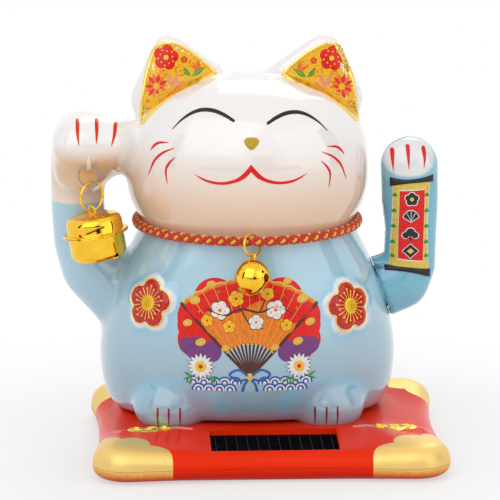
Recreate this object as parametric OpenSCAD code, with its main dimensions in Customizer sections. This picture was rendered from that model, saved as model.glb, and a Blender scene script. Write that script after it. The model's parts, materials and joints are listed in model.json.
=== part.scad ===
// Solar waving cat: a glazed ceramic cat on a moulded cushion base, with a pendulum arm and two bells.
// Millimetres. The front is -Y, up is +Z, and the origin is under the middle of the base.

/* [Base] */
// Width across the base's corners
base_w = 131; // [118:1:140]
// Depth across the base's corners
base_d = 114; // [110:1:124]
// Height of the seat that the cat stands on
base_h = 12.6; // [12:0.2:15]
// How far each side of the base curves in between its corners
base_waist = 3; // [1.5:0.5:5]
// Plan radius of the base's corners
base_corner_r = 13; // [11:1:16]
// How far the rounded top edge reaches in from the parting line
base_edge = 7; // [6:0.5:8]
// How much lower the rim lies at the middle of a side than at the seat
base_dip = 2; // [1:0.25:2.5]
// Height of the parting line between the two base shells
parting_h = 5; // [4.5:0.25:6]
// Wall of the base shells
base_wall = 1.8; // [1.5:0.1:2.2]
// Width of the window over the solar cell
window_w = 46.6; // [40:0.2:54]
// Depth of the window over the solar cell
window_d = 17.4; // [15:0.2:18]
// Distance of the window's middle in front of the base's middle
window_y = 35; // [34.5:0.1:36]
// How far the window and the reliefs beside it sit to the right of the base's middle
window_x = 1.2; // [0:0.2:2]

/* [Cat] */
// Sideways place of the cat's middle on the base, negative to the viewer's left
cat_x = -6.4; // [-8:0.2:-5]
// Place of the cat's middle behind the base's middle
cat_y = 16; // [15:0.5:17]
// Width of the belly
belly_w = 111; // [106:1:114]
// Depth of the belly
belly_d = 86; // [84:1:90]
// Width of the foot ring that stands on the base
foot_w = 97; // [92:1:98]
// Depth of the foot ring that stands on the base
foot_d = 62; // [60:0.5:64]
// Width of the neck in the collar's groove
neck_w = 77.8; // [77:0.2:79]
// Depth of the neck in the collar's groove
neck_d = 73.6; // [72:0.2:75]
// Height of the collar above the seat
collar_h = 70.2; // [69:0.2:73]
// Width of the head
head_w = 90.6; // [88:0.2:92]
// Depth of the head
head_d = 79; // [76:1:82]
// Height of the crown above the collar
head_h = 55; // [52:1:58]
// Height of the ear tips above the crown
ear_rise = 15; // [11:0.5:17]
// Thickness of the cast wall
ceramic_wall = 3.4; // [2.8:0.2:4]
// Radius of the plum blossoms in relief on the chest
blossom_r = 10.5; // [6:0.5:12]

/* [Raised paw] */
// Radius of the raised arm at its wrist
wrist_r = 10.2; // [9.6:0.2:11]
// How far the raised arm stands out from the cat's middle
wrist_x = 63.1; // [62:0.5:65]
// Height of the raised paw's middle above the seat
paw_h = 101.4; // [100:0.2:104]

/* [Waving arm] */
// Height of the swing axis above the seat
swing_h = 44.2; // [43:0.2:46]
// Height of the arm's tip above the seat
arm_top = 101.1; // [96:0.1:106]
// Distance of the arm's middle line from the cat's middle
arm_x = 61; // [60:0.5:64]
// Half the arm's width at the paw
arm_r = 10.9; // [10:0.1:11.4]
// Thickness of the arm as a share of its width
arm_flat = 0.74; // [0.68:0.02:0.8]
// Wall of the arm shells
arm_wall = 1.5; // [1.2:0.1:1.8]
// Gap between the arm and the ceramic side
arm_gap = 0.6; // [0.5:0.1:1]
// Diameter of the steel pivot pin
pin_d = 2; // [1.6:0.2:2.4]
// Diameter of the stub that carries the arm
stub_d = 6; // [5.4:0.2:6.4]
// Diameter of the pendulum's magnet
magnet_d = 11; // [9:0.5:11]

/* [Bells and collar] */
// Diameter of the braided collar cord
cord_d = 3.5; // [3:0.1:3.8]
// Diameter of the round bell on the collar
ball_d = 13; // [11:0.5:13.5]
// Diameter of the flat bell's body
bell_d = 20.6; // [19:0.2:22]
// Height of the flat bell's cap above its flange
bell_cap_h = 6.6; // [6:0.2:7.4]
// Depth of the flat bell's cup below its flange
bell_cup_h = 10; // [9:0.2:11]
// Radius of the split ring at the paw
ring_r = 3.7; // [3.5:0.1:4]
// Radius of the gold ring that carries the flat bell
loop_r = 5.2; // [5:0.1:5.6]
// Thickness of the bells' sheet metal
sheet = 0.5; // [0.4:0.1:0.6]

/* [Hidden] */
$fn = 48;

// Fits
glue_gap = 0.1;
running = 0.05;

// Form of the cat, as shares of the torso's and the head's height
belly_at = 0.31;
cheek_at = 0.36;
body_round = 2.1;
around = 48;
blossom_lean = -14;

// Base shells
edge_steps = 4;
slope_steps = 3;
seat_r = [foot_w / 2 + 0.6, foot_d / 2 + 0.6];
cell_top = base_h - 2.8;
cell_t = 1.6;
cell_lap = 1.2;
cloud_drop = 0.4;
rim_t = 1.5;
rim_h = 2.4;
floor_t = base_wall;
boss_x = base_w / 2 - 17;
boss_y = base_d / 2 - 17;
boss_r = 3.2;
screw_r = 1.2;
head_r = 2.3;
head_t = 1.3;
case_screw_l = 8.4;
bracket_screw_l = 8;

// Board and coil under the seat
board_size = [58, 36, 1.2];
board_z = floor_t + 1;
board_at = [11, 11];
board_hole = [board_size.x / 2 - 3, board_size.y / 2 - 3];
coil_h = 6;
coil_r = 9;
coil_core_r = 4.5;
bobbin_r = coil_r + 1;
bobbin_t = 0.8;
lead_r = 0.6;

// Bracket and pendulum, measured from the cat's middle
ear_t = 2.4;
ear_in = 13;
ear_out = 30;
end_play = 0.4;
flange_t = 2;
flange_x = [3, 39];
flange_half = 10;
flange_screws = [[7, -6], [35, 6]];
hub_r = 4.6;
hub_x = [ear_in + ear_t + end_play, ear_out - end_play];
swing_x = (hub_x[0] + hub_x[1]) / 2;
holder_r = magnet_d / 2 + 1.2;
holder_z = 3.8;
magnet_t = 5;
rod_r = 3;
weight_h = 8;
tongue_t = 2.2;
tongue_h = 4.8;
tongue_l = 16;
stub_end = arm_x - 13;
arm_screw_x = stub_end + 9;
swing = 18;
pin_x = [ear_in - 1.4, swing_x + 2];

// Foil scroll on the waving arm
scroll_w = 16;
scroll_h = 34;
scroll_waist = 1.4;
scroll_rise = 27;

// Collar
cord_r = cord_d / 2;
collar_r = max(neck_w, neck_d) / 2 + cord_r + 0.55;
ring_wire = 0.45;
neck_ring_r = 4.15;
neck_ring_turn = 46;
neck_ring_lean = 19;

// Flat bell and its rings, measured from the cat's middle
wire = 0.4;
loop_wire = 0.5;
lug = [-59, -24, paw_h - 6.3];
lug_r = 1.6;
lug_w = 1.6;
lug_hole_r = 0.8;
loop_turn = 42;
loop_slip = 22;
eye_r = 1.4;
flange_w = 1.8;
bell_round = 3;
bell_tilt = 9;

function mix(a, b, t) = a + (b - a) * t;
function smooth(t) = let (s = min(1, max(0, t))) s * s * (3 - 2 * s);
function signed_pow(v, p) = sign(v) * pow(abs(v), p);

// Point of a rounded-square curve at the angle a
function squircle(a, rx, ry) =
  [rx * signed_pow(cos(a), 2 / body_round), ry * signed_pow(sin(a), 2 / body_round)];

// Half a torso section at the share t of its height
function torso_half(t, neck, belly, foot) =
  t > belly_at
    ? neck + (belly - neck) * (1 - pow((t - belly_at) / (1 - belly_at), 1.6))
    : foot + (belly - foot) * sqrt(max(0, 1 - pow((belly_at - t) / belly_at, 2)));

function torso_size(t) = [
  torso_half(t, neck_w / 2, belly_w / 2, foot_w / 2),
  torso_half(t, neck_d / 2, belly_d / 2, foot_d / 2)
];

// Half a head section at the share s of its height
function head_half(s, neck, wide) =
  s < cheek_at
    ? wide - (wide - neck) * pow((cheek_at - s) / cheek_at, 2.4)
    : wide * pow(max(0, 1 - pow((s - cheek_at) / (1 - cheek_at), 2.5)), 0.4);

function head_size(s) = [head_half(s, neck_w / 2, head_w / 2), head_half(s, neck_d / 2, head_d / 2)];

function section(size, z, grow, count) =
  [for (i = [0:count - 1]) let (p = squircle(i * 360 / count, size.x + grow, size.y + grow)) [p.x, p.y, z]];

// Point on the torso at the angle a and the share t of its height
function on_torso(a, t) = let (s = torso_size(t), p = squircle(a, s.x, s.y)) [p.x, p.y, t * collar_h];

// Skins a stack of rings, each anticlockwise seen from above, and closes the first and the last
module skin(rings) {
  n = len(rings[0]);
  last = len(rings) - 1;
  sides = [
    for (j = [0:last - 1], i = [0:n - 1])
      [j * n + i, (j + 1) * n + i, (j + 1) * n + (i + 1) % n, j * n + (i + 1) % n]
  ];
  polyhedron(
    points = [for (r = rings) each r],
    faces = concat(sides, [[for (i = [0:n - 1]) i]], [[for (i = [n - 1:-1:0]) last * n + i]]),
    convexity = 8
  );
}

// Hulls each sphere of a chain to the next; a link is [x, y, z, radius]
module chain(links, grow = 0, flat = 1, facets = 24) {
  for (i = [0:len(links) - 2])
    hull() {
      for (k = [i, i + 1])
        translate([links[k].x, links[k].y, links[k].z])
          scale([1, flat, 1])
            sphere(r = links[k][3] + grow, $fn = facets);
    }
}

module torus(r, wire_r) {
  rotate_extrude()
    translate([r, 0]) circle(r = wire_r, $fn = 24);
}

// Places children in the cat's own frame, on the seat
module on_seat() {
  translate([cat_x, cat_y, base_h]) children();
}

module pan_screw(length) {
  cylinder(r = screw_r, h = length);
  translate([0, 0, -head_t]) cylinder(r = head_r, h = head_t);
}

// ---- Ceramic cat ----

// Torso and head as one turned-like form, larger or smaller all round by grow
module cat_form(grow, count, steps, low = 0) {
  lower = [for (i = [0:steps]) belly_at * (1 - cos(90 * i / steps))];
  upper = [for (i = [1:steps]) mix(belly_at, 1, i / steps)];
  cheek = [for (i = [1:steps - 1]) cheek_at * i / (steps - 1)];
  crown = [for (i = [1:steps + 1]) mix(cheek_at, 1, 1 - pow(1 - i / (steps + 1.3), 1.9))];
  skin([
    for (t = lower) section(torso_size(t), t == 0 ? low : t * collar_h, grow, count),
    for (t = upper) section(torso_size(t), t * collar_h, grow, count),
    for (s = cheek) section(head_size(s), collar_h + s * head_h, grow, count),
    for (s = crown) section(head_size(s), collar_h + s * (head_h + grow), grow, count)
  ]);
}

module ear_form(side) {
  crown_z = collar_h + head_h;
  hull() {
    translate([side * 28.7, 3, crown_z + ear_rise - 6.6]) scale([1, 0.62, 1]) sphere(r = 6.6, $fn = 24);
    translate([side * 35.4, 2, crown_z - 9.6]) scale([1, 0.75, 1]) sphere(r = 8.2, $fn = 24);
    translate([side * 9.5, 3, crown_z - 5]) scale([1, 0.9, 1]) sphere(r = 6.4, $fn = 24);
    translate([side * 30, 4.2, crown_z - 21.2]) sphere(r = 9, $fn = 20);
  }
}

// Raised arm: from the side of the torso up to the wrist, then the paw bent forward
module raised_arm() {
  paw_x = wrist_x - 0.4;
  chain([
    [-40, 4, 36, 15],
    [-50, 3, 44.6, 13],
    [-57.6, 2, 52, 12.2],
    [1.6 - wrist_x, 1.4, 62, wrist_r + 0.7],
    [-wrist_x, 0.2, 74, wrist_r],
    [-wrist_x, -0.8, paw_h - 19, wrist_r],
    [0.6 - wrist_x, -2, paw_h - 8, wrist_r + 0.6]
  ], facets = 20);
  hull() {
    translate([0.6 - wrist_x, -2, paw_h - 8]) sphere(r = wrist_r + 0.6, $fn = 20);
    translate([-53.8, -4, paw_h - 4]) sphere(r = 11, $fn = 20);
    translate([1.2 - paw_x, -5, paw_h]) sphere(r = 11.4, $fn = 20);
  }
  hull() {
    translate([-53.8, -4, paw_h - 4]) sphere(r = 11, $fn = 20);
    translate([1.2 - paw_x, -5, paw_h]) sphere(r = 11.4, $fn = 20);
    translate([0.4 - paw_x, -14.4, paw_h]) sphere(r = 10.4, $fn = 20);
    translate([-53, -13, paw_h]) sphere(r = 10.4, $fn = 20);
  }
}

// Lug under the paw that the split ring hangs in
module paw_lug() {
  translate(lug - [lug_w / 2, 0, 0]) hull() {
    rotate([0, 90, 0]) cylinder(r = lug_r, h = lug_w, $fn = 24);
    translate([0, 0.4, 2.6]) cube([lug_w, 4, 2]);
  }
}

module foot_bump(side) {
  translate([side * 27.4, -foot_d / 2 + 7.6, 5.6])
    scale([15.4, 13.6, 9.6]) sphere(r = 1, $fn = 24);
}

// Five-petalled relief that stands out of the chest
module blossom(angle, share) {
  petal_r = blossom_r * 0.5;
  proud = 0.9;
  size = torso_size(share);
  facing = atan2(sin(angle) / size.y, cos(angle) / size.x) + 360;
  translate(on_torso(angle, share)) rotate([0, 0, facing]) rotate([0, blossom_lean, 0]) rotate([90, 0, 90])
    translate([0, 0, proud - 6]) linear_extrude(height = 6) {
      circle(r = petal_r, $fn = 20);
      for (k = [0:4])
        rotate([0, 0, 90 + 72 * k]) translate([blossom_r - petal_r, 0]) circle(r = petal_r, $fn = 14);
    }
}

module ceramic_cat() {
  color("lightblue")
    on_seat() difference() {
      union() {
        cat_form(0, around, 8);
        for (side = [-1, 1]) {
          ear_form(side);
          foot_bump(side);
        }
        blossom(223, 0.64);
        blossom(316, 0.62);
        raised_arm();
        paw_lug();
        translate([0, foot_d / 2 + 6, 12]) scale([9, 9, 8]) sphere(r = 1, $fn = 24);
      }
      translate([0, 0, -30]) cube([300, 300, 60 + 2 * glue_gap], center = true);
      cat_form(-ceramic_wall, 24, 5, -1);
      translate([belly_w / 2 - 15, 0, swing_h]) rotate([0, 90, 0])
        cylinder(r = stub_d / 2 + 3, h = 40, $fn = 30);
      translate(lug - [lug_w, 0, 0]) rotate([0, 90, 0])
        cylinder(r = lug_hole_r, h = 2 * lug_w, $fn = 16);
    }
}

module collar_cord() {
  color("crimson")
    on_seat() translate([0, 0, collar_h]) torus(collar_r, cord_r);
}

module collar_crimp() {
  color("goldenrod")
    on_seat() translate([0, 0, collar_h]) rotate([0, 0, 90 - 5])
      rotate_extrude(angle = 10)
        translate([collar_r, 0]) difference() {
          circle(r = cord_r + 0.5);
          circle(r = cord_r + 0.02);
        }
}

// ---- Base ----

// Plan outline of the base, drawn in by inset: four round corners joined by hollow sides
function base_outline(inset) =
  let (
    r = base_corner_r - inset,
    hx = base_w / 2 - base_corner_r,
    hy = base_d / 2 - base_corner_r,
    long_r = (hx * hx + base_waist * base_waist) / (2 * base_waist) - base_corner_r + inset,
    side_r = (hy * hy + base_waist * base_waist) / (2 * base_waist) - base_corner_r + inset,
    dip_x = asin(hx / (long_r + r)),
    dip_y = asin(hy / (side_r + r)),
    front = -(hy + sqrt(pow(long_r + r, 2) - hx * hx)),
    right = hx + sqrt(pow(side_r + r, 2) - hy * hy),
    corner = [for (i = [0:6]) mix(-90 - dip_x, dip_y, i / 6)],
    half = concat(
      [for (i = [-4:1:4]) [long_r * sin(dip_x * i / 5), front + long_r * cos(dip_x * i / 5)]],
      [for (a = corner) [hx + r * cos(a), -hy + r * sin(a)]],
      [for (i = [-4:1:4]) [right - side_r * cos(dip_y * i / 5), side_r * sin(dip_y * i / 5)]],
      [for (i = [6:-1:0]) [hx + r * cos(corner[i]), hy - r * sin(corner[i])]]
    )
  )
  concat(half, [for (p = half) [-p.x, -p.y]]);

// Height of the rounded rim over a plan point: full at the corners, lower between them
function rim_z(p) =
  let (
    kx = abs(p.x) / (base_w / 2),
    ky = abs(p.y) / (base_d / 2),
    corner = smooth((min(kx, ky) - 0.3) / 0.6)
  )
  base_h - base_dip * (1 - corner) + 0.2 * corner;

// Point of the seat's edge on the line from the cat's middle to p
function seat_point(p, grow) =
  let (
    d = [p.x - cat_x, p.y - cat_y],
    out = pow(abs(d.x) / (seat_r.x + grow), body_round) + pow(abs(d.y) / (seat_r.y + grow), body_round)
  )
  [cat_x, cat_y] + d * min(0.99, pow(out, -1 / body_round));

// Rings of the upper shell's surface, from the parting line to the seat, lowered and drawn in by wall
function top_rings(wall, steps, slopes) =
  let (inner = base_outline(base_edge + wall * 0.3))
  concat(
    [
      for (k = [0:steps])
        let (a = 90 * k / steps, ring = base_outline(wall + (base_edge - wall * 0.7) * (1 - cos(a))))
          [for (p = ring) [p.x, p.y, mix(parting_h, rim_z(p) - wall, sin(a))]]
    ],
    [
      for (k = [1:slopes])
        [
          for (p = inner)
            let (q = seat_point(p, -wall), w = k / slopes)
              [mix(p.x, q.x, w), mix(p.y, q.y, w), mix(rim_z(p), base_h, smooth(w)) - wall]
        ]
    ]
  );

function reversed(list) = [for (i = [len(list) - 1:-1:0]) list[i]];

module seat_ring(r, t, h) {
  difference() {
    scale([1, r.y / r.x, 1]) cylinder(r = r.x, h = h, $fn = 64);
    translate([0, 0, -1]) scale([1, (r.y - t) / (r.x - t), 1]) cylinder(r = r.x - t, h = h + 2, $fn = 64);
  }
}

// Cloud-shaped plinth for the gold relief beside the window
module cloud_plinth(side) {
  puffs = [[-8, 1, 4], [-2, -1, 5], [4, 1.5, 5.4], [9, -0.5, 4]];
  translate([window_x + side * 43.5, -24, base_h - 3]) linear_extrude(height = 3 - cloud_drop)
    for (puff = puffs) translate([side * puff[0], puff[1]]) circle(r = puff[2]);
}

// Block over the window, wider than it by lap on every side
module window_slab(lap, z, h) {
  translate([window_x - window_w / 2 - lap, -window_y - window_d / 2 - lap, z])
    cube([window_w + 2 * lap, window_d + 2 * lap, h]);
}

module base_upper_shell() {
  frame_x = window_w / 2 + cell_lap + 1.6;
  frame_y = window_d / 2 + cell_lap + 1.2;
  color("orangered")
    difference() {
      union() {
        skin(concat(reversed(top_rings(base_wall, 3, 2)), top_rings(0, edge_steps, slope_steps)));
        intersection() {
          skin(top_rings(0.3, 3, 3));
          union() {
            translate([window_x - frame_x, -window_y - frame_y, cell_top])
              cube([2 * frame_x, 2 * frame_y, base_h]);
            for (x = [-1, 1], y = [-1, 1])
              translate([x * boss_x, y * boss_y, floor_t + 0.8]) {
                cylinder(r = boss_r, h = base_h);
                translate([0, 0, parting_h]) rotate([0, 0, 45]) cube([18, 1.2, base_h], center = true);
              }
            for (at = flange_screws)
              translate([cat_x + at.x, cat_y + at.y, base_h - 7]) cylinder(r = 3, h = 7);
          }
        }
        for (side = [-1, 1]) cloud_plinth(side);
        on_seat() translate([0, 0, -1])
          seat_ring([foot_w / 2 - ceramic_wall - 0.8, foot_d / 2 - ceramic_wall - 0.8], rim_t, rim_h + 1);
      }
      window_slab(0, 0, 30);
      window_slab(cell_lap + 0.2, 0, cell_top);
      for (x = [-1, 1], y = [-1, 1])
        translate([x * boss_x, y * boss_y, 0]) cylinder(r = screw_r + 0.02, h = base_h - 3);
      for (at = flange_screws)
        translate([cat_x + at.x, cat_y + at.y, base_h - 8]) cylinder(r = screw_r + 0.02, h = 10);
    }
}

module base_lower_shell() {
  drop = parting_h - glue_gap;
  function low_ring(inset, z) = [for (p = base_outline(inset)) [p.x, p.y, z]];
  outer = [for (k = [0:4]) let (a = 90 * k / 4) low_ring(5.5 * (1 - sin(a)), drop * (1 - cos(a)))];
  inner = [for (k = [2:-1:0]) let (a = 90 * k / 2)
    low_ring(base_wall + 5.5 * (1 - sin(a)), mix(floor_t, drop, 1 - cos(a)))];
  color("firebrick")
    difference() {
      union() {
        skin(concat(outer, inner));
        for (x = [-1, 1], y = [-1, 1])
          translate([board_at.x + x * board_hole.x, board_at.y + y * board_hole.y, floor_t - 0.5])
            cylinder(r = 2, h = board_z - floor_t + 0.5, $fn = 24);
        for (x = [-1, 1], y = [-1, 1])
          translate([x * boss_x, y * boss_y, floor_t - 0.5]) cylinder(r = boss_r, h = 0.6);
      }
      for (x = [-1, 1], y = [-1, 1])
        translate([x * boss_x, y * boss_y, -1]) {
          cylinder(r = screw_r + 0.15, h = 8);
          cylinder(r = head_r + 0.3, h = 1 + head_t - 0.3);
        }
    }
}

module base_screws() {
  color("silver")
    for (x = [-1, 1], y = [-1, 1])
      translate([x * boss_x, y * boss_y, head_t - 0.3]) pan_screw(case_screw_l);
}

module solar_cell() {
  color("midnightblue")
    window_slab(cell_lap, cell_top - cell_t - 0.05, cell_t);
}

// ---- Electronics ----

module circuit_board() {
  color("darkgreen")
    translate([board_at.x, board_at.y, board_z]) difference() {
      translate([-board_size.x / 2, -board_size.y / 2, 0]) cube(board_size);
      for (x = [-1, 1])
        translate([x * board_hole.x, x * board_hole.y, -1]) cylinder(r = 1.3, h = 4);
    }
}

module board_screws() {
  color("silver")
    for (x = [-1, 1])
      translate([board_at.x + x * board_hole.x, board_at.y + x * board_hole.y, board_z + board_size.z])
        mirror([0, 0, 1]) {
          cylinder(r = 0.8, h = board_size.z);
          translate([0, 0, -1]) cylinder(r = 2, h = 1);
        }
}

module driver_chip() {
  color("black")
    translate([board_at.x - board_hole.x + 6, board_at.y - board_hole.y + 9, board_z + board_size.z])
      intersection() {
        translate([0, 0, -5]) sphere(r = 6.6);
        cylinder(r = 6, h = 4);
      }
}

module capacitor() {
  color("navy")
    translate([board_at.x - board_hole.x + 4, board_at.y + board_hole.y - 6, board_z + board_size.z + 2.5])
      rotate([0, 90, 0]) {
        cylinder(r = 2.5, h = 9);
        translate([0, 0, -0.6]) cylinder(r = 2.2, h = 0.6);
      }
}

module coil_bobbin() {
  color("ivory")
    translate([cat_x + swing_x, cat_y, board_z + board_size.z]) difference() {
      union() {
        cylinder(r = bobbin_r, h = bobbin_t);
        cylinder(r = coil_core_r, h = coil_h);
        translate([0, 0, coil_h - bobbin_t]) cylinder(r = bobbin_r, h = bobbin_t);
      }
      translate([0, 0, -1]) cylinder(r = coil_core_r - 1.2, h = coil_h + 2);
    }
}

module drive_coil() {
  color("peru")
    translate([cat_x + swing_x, cat_y, board_z + board_size.z + bobbin_t + 0.05]) difference() {
      cylinder(r = coil_r, h = coil_h - 2 * bobbin_t - 0.1);
      translate([0, 0, -1]) cylinder(r = coil_core_r + 0.05, h = coil_h + 2);
    }
}

// Round lead swept along hand-set points
module lead(points, r) {
  n = len(points);
  rings = [
    for (i = [0:n - 1])
      let (
        ahead = points[min(n - 1, i + 1)] - points[max(0, i - 1)],
        d = ahead / norm(ahead),
        u = cross([1, 0, 0], d) / norm(cross([1, 0, 0], d)),
        v = cross(d, u)
      )
        [for (k = [0:7]) points[i] + r * (cos(45 * k) * u + sin(45 * k) * v)]
  ];
  skin(rings);
}

// From a pad under the solar cell down to the front edge of the board
function lead_points(x) =
  let (
    start = [x, -window_y + 5, cell_top - cell_t - 0.75],
    end = [x, board_at.y - board_size.y / 2 - 0.1, board_z + board_size.z / 2]
  )
  [for (i = [0:6]) let (t = i / 6) [x, mix(start.y, end.y, t), mix(start.z, end.z, smooth(t))]];

module lead_red() {
  color("red") lead(lead_points(4), lead_r);
}

module lead_black() {
  color("black") lead(lead_points(8), lead_r);
}

// ---- Swing mechanism ----

module bracket_ear(x, bore_r) {
  axis_z = swing_h - glue_gap;
  translate([x, 0, 0]) difference() {
    hull() {
      translate([0, 0, axis_z]) rotate([0, 90, 0]) cylinder(r = stub_d / 2 + 2.2, h = ear_t);
      translate([0, -9, 0.5]) cube([ear_t, 18, 2]);
    }
    translate([-1, 0, axis_z]) rotate([0, 90, 0]) cylinder(r = bore_r, h = ear_t + 2);
  }
}

module pivot_bracket() {
  color("whitesmoke")
    on_seat() translate([0, 0, glue_gap]) {
      difference() {
        translate([flange_x[0], -flange_half, 0])
          cube([flange_x[1] - flange_x[0], 2 * flange_half, flange_t]);
        for (at = flange_screws)
          translate([at.x, at.y, -1]) cylinder(r = screw_r + 0.15, h = 5);
      }
      bracket_ear(ear_in, pin_d / 2);
      bracket_ear(ear_out, stub_d / 2 + running);
    }
}

module bracket_screws() {
  color("silver")
    on_seat() for (at = flange_screws)
      translate([at.x, at.y, flange_t + glue_gap]) mirror([0, 0, 1]) pan_screw(bracket_screw_l);
}

module pivot_pin() {
  color("silver")
    on_seat() translate([0, 0, swing_h]) rotate([0, 90, 0]) {
      translate([0, 0, pin_x[0]]) cylinder(r = pin_d / 2, h = pin_x[1] - pin_x[0]);
      translate([0, 0, pin_x[0] - 1]) cylinder(r = pin_d / 2 + 1, h = 1);
    }
}

module swing_lever() {
  color("ivory")
    on_seat() difference() {
      union() {
        translate([0, 0, swing_h]) rotate([0, 90, 0]) {
          translate([0, 0, hub_x[0]]) cylinder(r = hub_r, h = hub_x[1] - hub_x[0]);
          translate([0, 0, hub_x[1] - 1]) cylinder(r = stub_d / 2, h = stub_end - hub_x[1] + 1);
        }
        translate([stub_end - 3, -tongue_t / 2, swing_h - tongue_h / 2])
          cube([tongue_l, tongue_t, tongue_h]);
        translate([swing_x, 0, holder_z]) {
          cylinder(r = holder_r, h = magnet_t + 1);
          cylinder(r = rod_r, h = swing_h - holder_z);
        }
      }
      translate([0, 0, swing_h]) rotate([0, 90, 0])
        translate([0, 0, hub_x[0] - 1]) cylinder(r = pin_d / 2 + running, h = pin_x[1] - hub_x[0] + 1.5);
      translate([swing_x, 0, holder_z - 1]) cylinder(r = magnet_d / 2, h = magnet_t + 1);
      translate([arm_screw_x, -5, swing_h]) rotate([-90, 0, 0]) cylinder(r = 1.3, h = 10);
    }
}

module magnet() {
  color("gray")
    on_seat() translate([swing_x, 0, holder_z]) cylinder(r = magnet_d / 2, h = magnet_t);
}

module counterweight() {
  color("dimgray")
    on_seat() translate([swing_x, 0, holder_z + magnet_t + 1 + 0.05]) difference() {
      cylinder(r = holder_r, h = weight_h);
      translate([0, 0, -1]) cylinder(r = rod_r + 0.02, h = weight_h + 2);
    }
}

// ---- Waving arm ----

// Spheres along the arm from its tip to its root: x, y, z and radius
function arm_links() =
  let (waist = arm_r - 1.2)
  [
    [arm_x - 0.4, 0, arm_top - arm_r, arm_r],
    [arm_x - 0.1, 0, arm_top - arm_r - 12, arm_r - 0.2],
    [arm_x + 0.4, 0, swing_h + 22, waist],
    [arm_x - 0.2, 0, swing_h + 8, waist + 0.2],
    [arm_x - 3.4, 0, swing_h + 2, arm_r],
    [arm_x - 10, 0, swing_h - 0.6, arm_r + 0.2],
    [arm_x - 17, 0, swing_h - 2, arm_r]
  ];

// Middle of the torso, grown, which the arm must clear wherever it swings
module torso_keepout(grow) {
  levels = [for (i = [0:6]) mix(belly_at * 0.7, 0.95, i / 6)];
  for (a = [-swing, 0, swing])
    translate([0, 0, swing_h]) rotate([a, 0, 0]) translate([0, 0, -swing_h])
      skin([for (t = levels) section(torso_size(t), t * collar_h, grow, 48)]);
}

module arm_form(grow, facets = 24) {
  difference() {
    chain(arm_links(), grow, arm_flat, facets);
    torso_keepout(arm_gap - grow);
  }
}

module arm_half(side) {
  boss_at = [arm_screw_x, 0, swing_h];
  intersection() {
    difference() {
      union() {
        difference() {
          arm_form(0);
          chain(arm_links(), -arm_wall, arm_flat, 16);
        }
        intersection() {
          arm_form(-0.4, 16);
          translate(boss_at) rotate([side * 90, 0, 0])
            translate([0, 0, tongue_t / 2 + 0.1]) cylinder(r = 3, h = 20, $fn = 24);
        }
        intersection() {
          arm_form(-0.4, 16);
          translate([stub_end - 1.5, -20, swing_h - 8]) cube([3, 40, 16]);
        }
      }
      translate([stub_end - 20, 0, swing_h]) rotate([0, 90, 0])
        cylinder(r = stub_d / 2 + 0.15, h = 22.5, $fn = 32);
      translate(boss_at) rotate([90, 0, 0])
        cylinder(r = side > 0 ? 1.1 : 1.35, h = 40, center = true, $fn = 20);
      if (side < 0)
        translate(boss_at) rotate([-90, 0, 0]) translate([0, 0, 6]) cylinder(r = 2.6, h = 20, $fn = 24);
    }
    translate([0, side > 0 ? -40 : 0.05, 0]) cube([120, 39.95, 150]);
  }
}

module arm_front_shell() {
  color("skyblue") on_seat() arm_half(1);
}

module arm_back_shell() {
  color("skyblue") on_seat() arm_half(-1);
}

module arm_screw() {
  color("silver")
    on_seat() translate([arm_screw_x, 6, swing_h]) rotate([90, 0, 0]) {
      cylinder(r = 1.05, h = 10);
      translate([0, 0, -1.2]) cylinder(r = 2.3, h = 1.2);
    }
}

// Printed foil label in the shape of a hanging scroll
module scroll_outline() {
  side_r = 90;
  roller_w = scroll_w + 0.4;
  difference() {
    translate([-scroll_w / 2, -scroll_h / 2]) square([scroll_w, scroll_h]);
    for (side = [-1, 1])
      translate([side * (scroll_w / 2 + side_r - scroll_waist), 0]) circle(r = side_r, $fn = 160);
  }
  for (end = [-1, 1])
    translate([-roller_w / 2, end * scroll_h / 2 - 1.2]) square([roller_w, 2.4]);
}

module scroll_label() {
  color("gold")
    on_seat() intersection() {
      difference() {
        chain(arm_links(), 0.3, arm_flat, 24);
        chain(arm_links(), 0.04, arm_flat, 24);
      }
      translate([arm_x + 0.2, 0, swing_h + scroll_rise]) rotate([90, 0, 0])
        linear_extrude(height = 30) scroll_outline();
    }
}

// ---- Collar bell ----

ring_drop = neck_ring_r - ring_wire - cord_r - 0.5;
collar_front = [0, -collar_r, collar_h];
ring_centre = collar_front + [0, -sin(neck_ring_lean), -cos(neck_ring_lean)] * ring_drop;
ball_r = ball_d / 2;
shank_r = 1.3;
ball_shank = ring_centre + [0, -sin(neck_ring_lean), -cos(neck_ring_lean)] * neck_ring_r;
ball_lean = 28;
slot_turn = -39;
slot_reach = 74;
slot_w = 0.8;
slot_hole_r = 1.4;
ball_centre = ball_shank - [0, sin(ball_lean), cos(ball_lean)] * (ball_r + shank_r - 0.1);

// Places children in the ball's frame: origin at its middle, +Z through its shank
module at_ball() {
  on_seat() translate(ball_centre) rotate([-ball_lean, 0, 0]) children();
}

module collar_ring() {
  color("gold")
    on_seat() translate(ring_centre) rotate([-neck_ring_lean, 0, 0])
      rotate([0, 0, 90 - neck_ring_turn]) rotate([90, 0, 0]) torus(neck_ring_r, ring_wire);
}

module ball_half(side) {
  difference() {
    sphere(r = ball_r);
    sphere(r = ball_r - sheet);
    translate([-ball_r - 1, -ball_r - 1, side > 0 ? -2 * ball_r - 2 : 0]) cube(2 * ball_r + 2);
  }
}

module collar_bell_top() {
  color("gold")
    at_ball() {
      ball_half(1);
      translate([0, 0, ball_r + shank_r - 0.1]) rotate([90, 0, -neck_ring_turn]) torus(shank_r, wire);
    }
}

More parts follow.
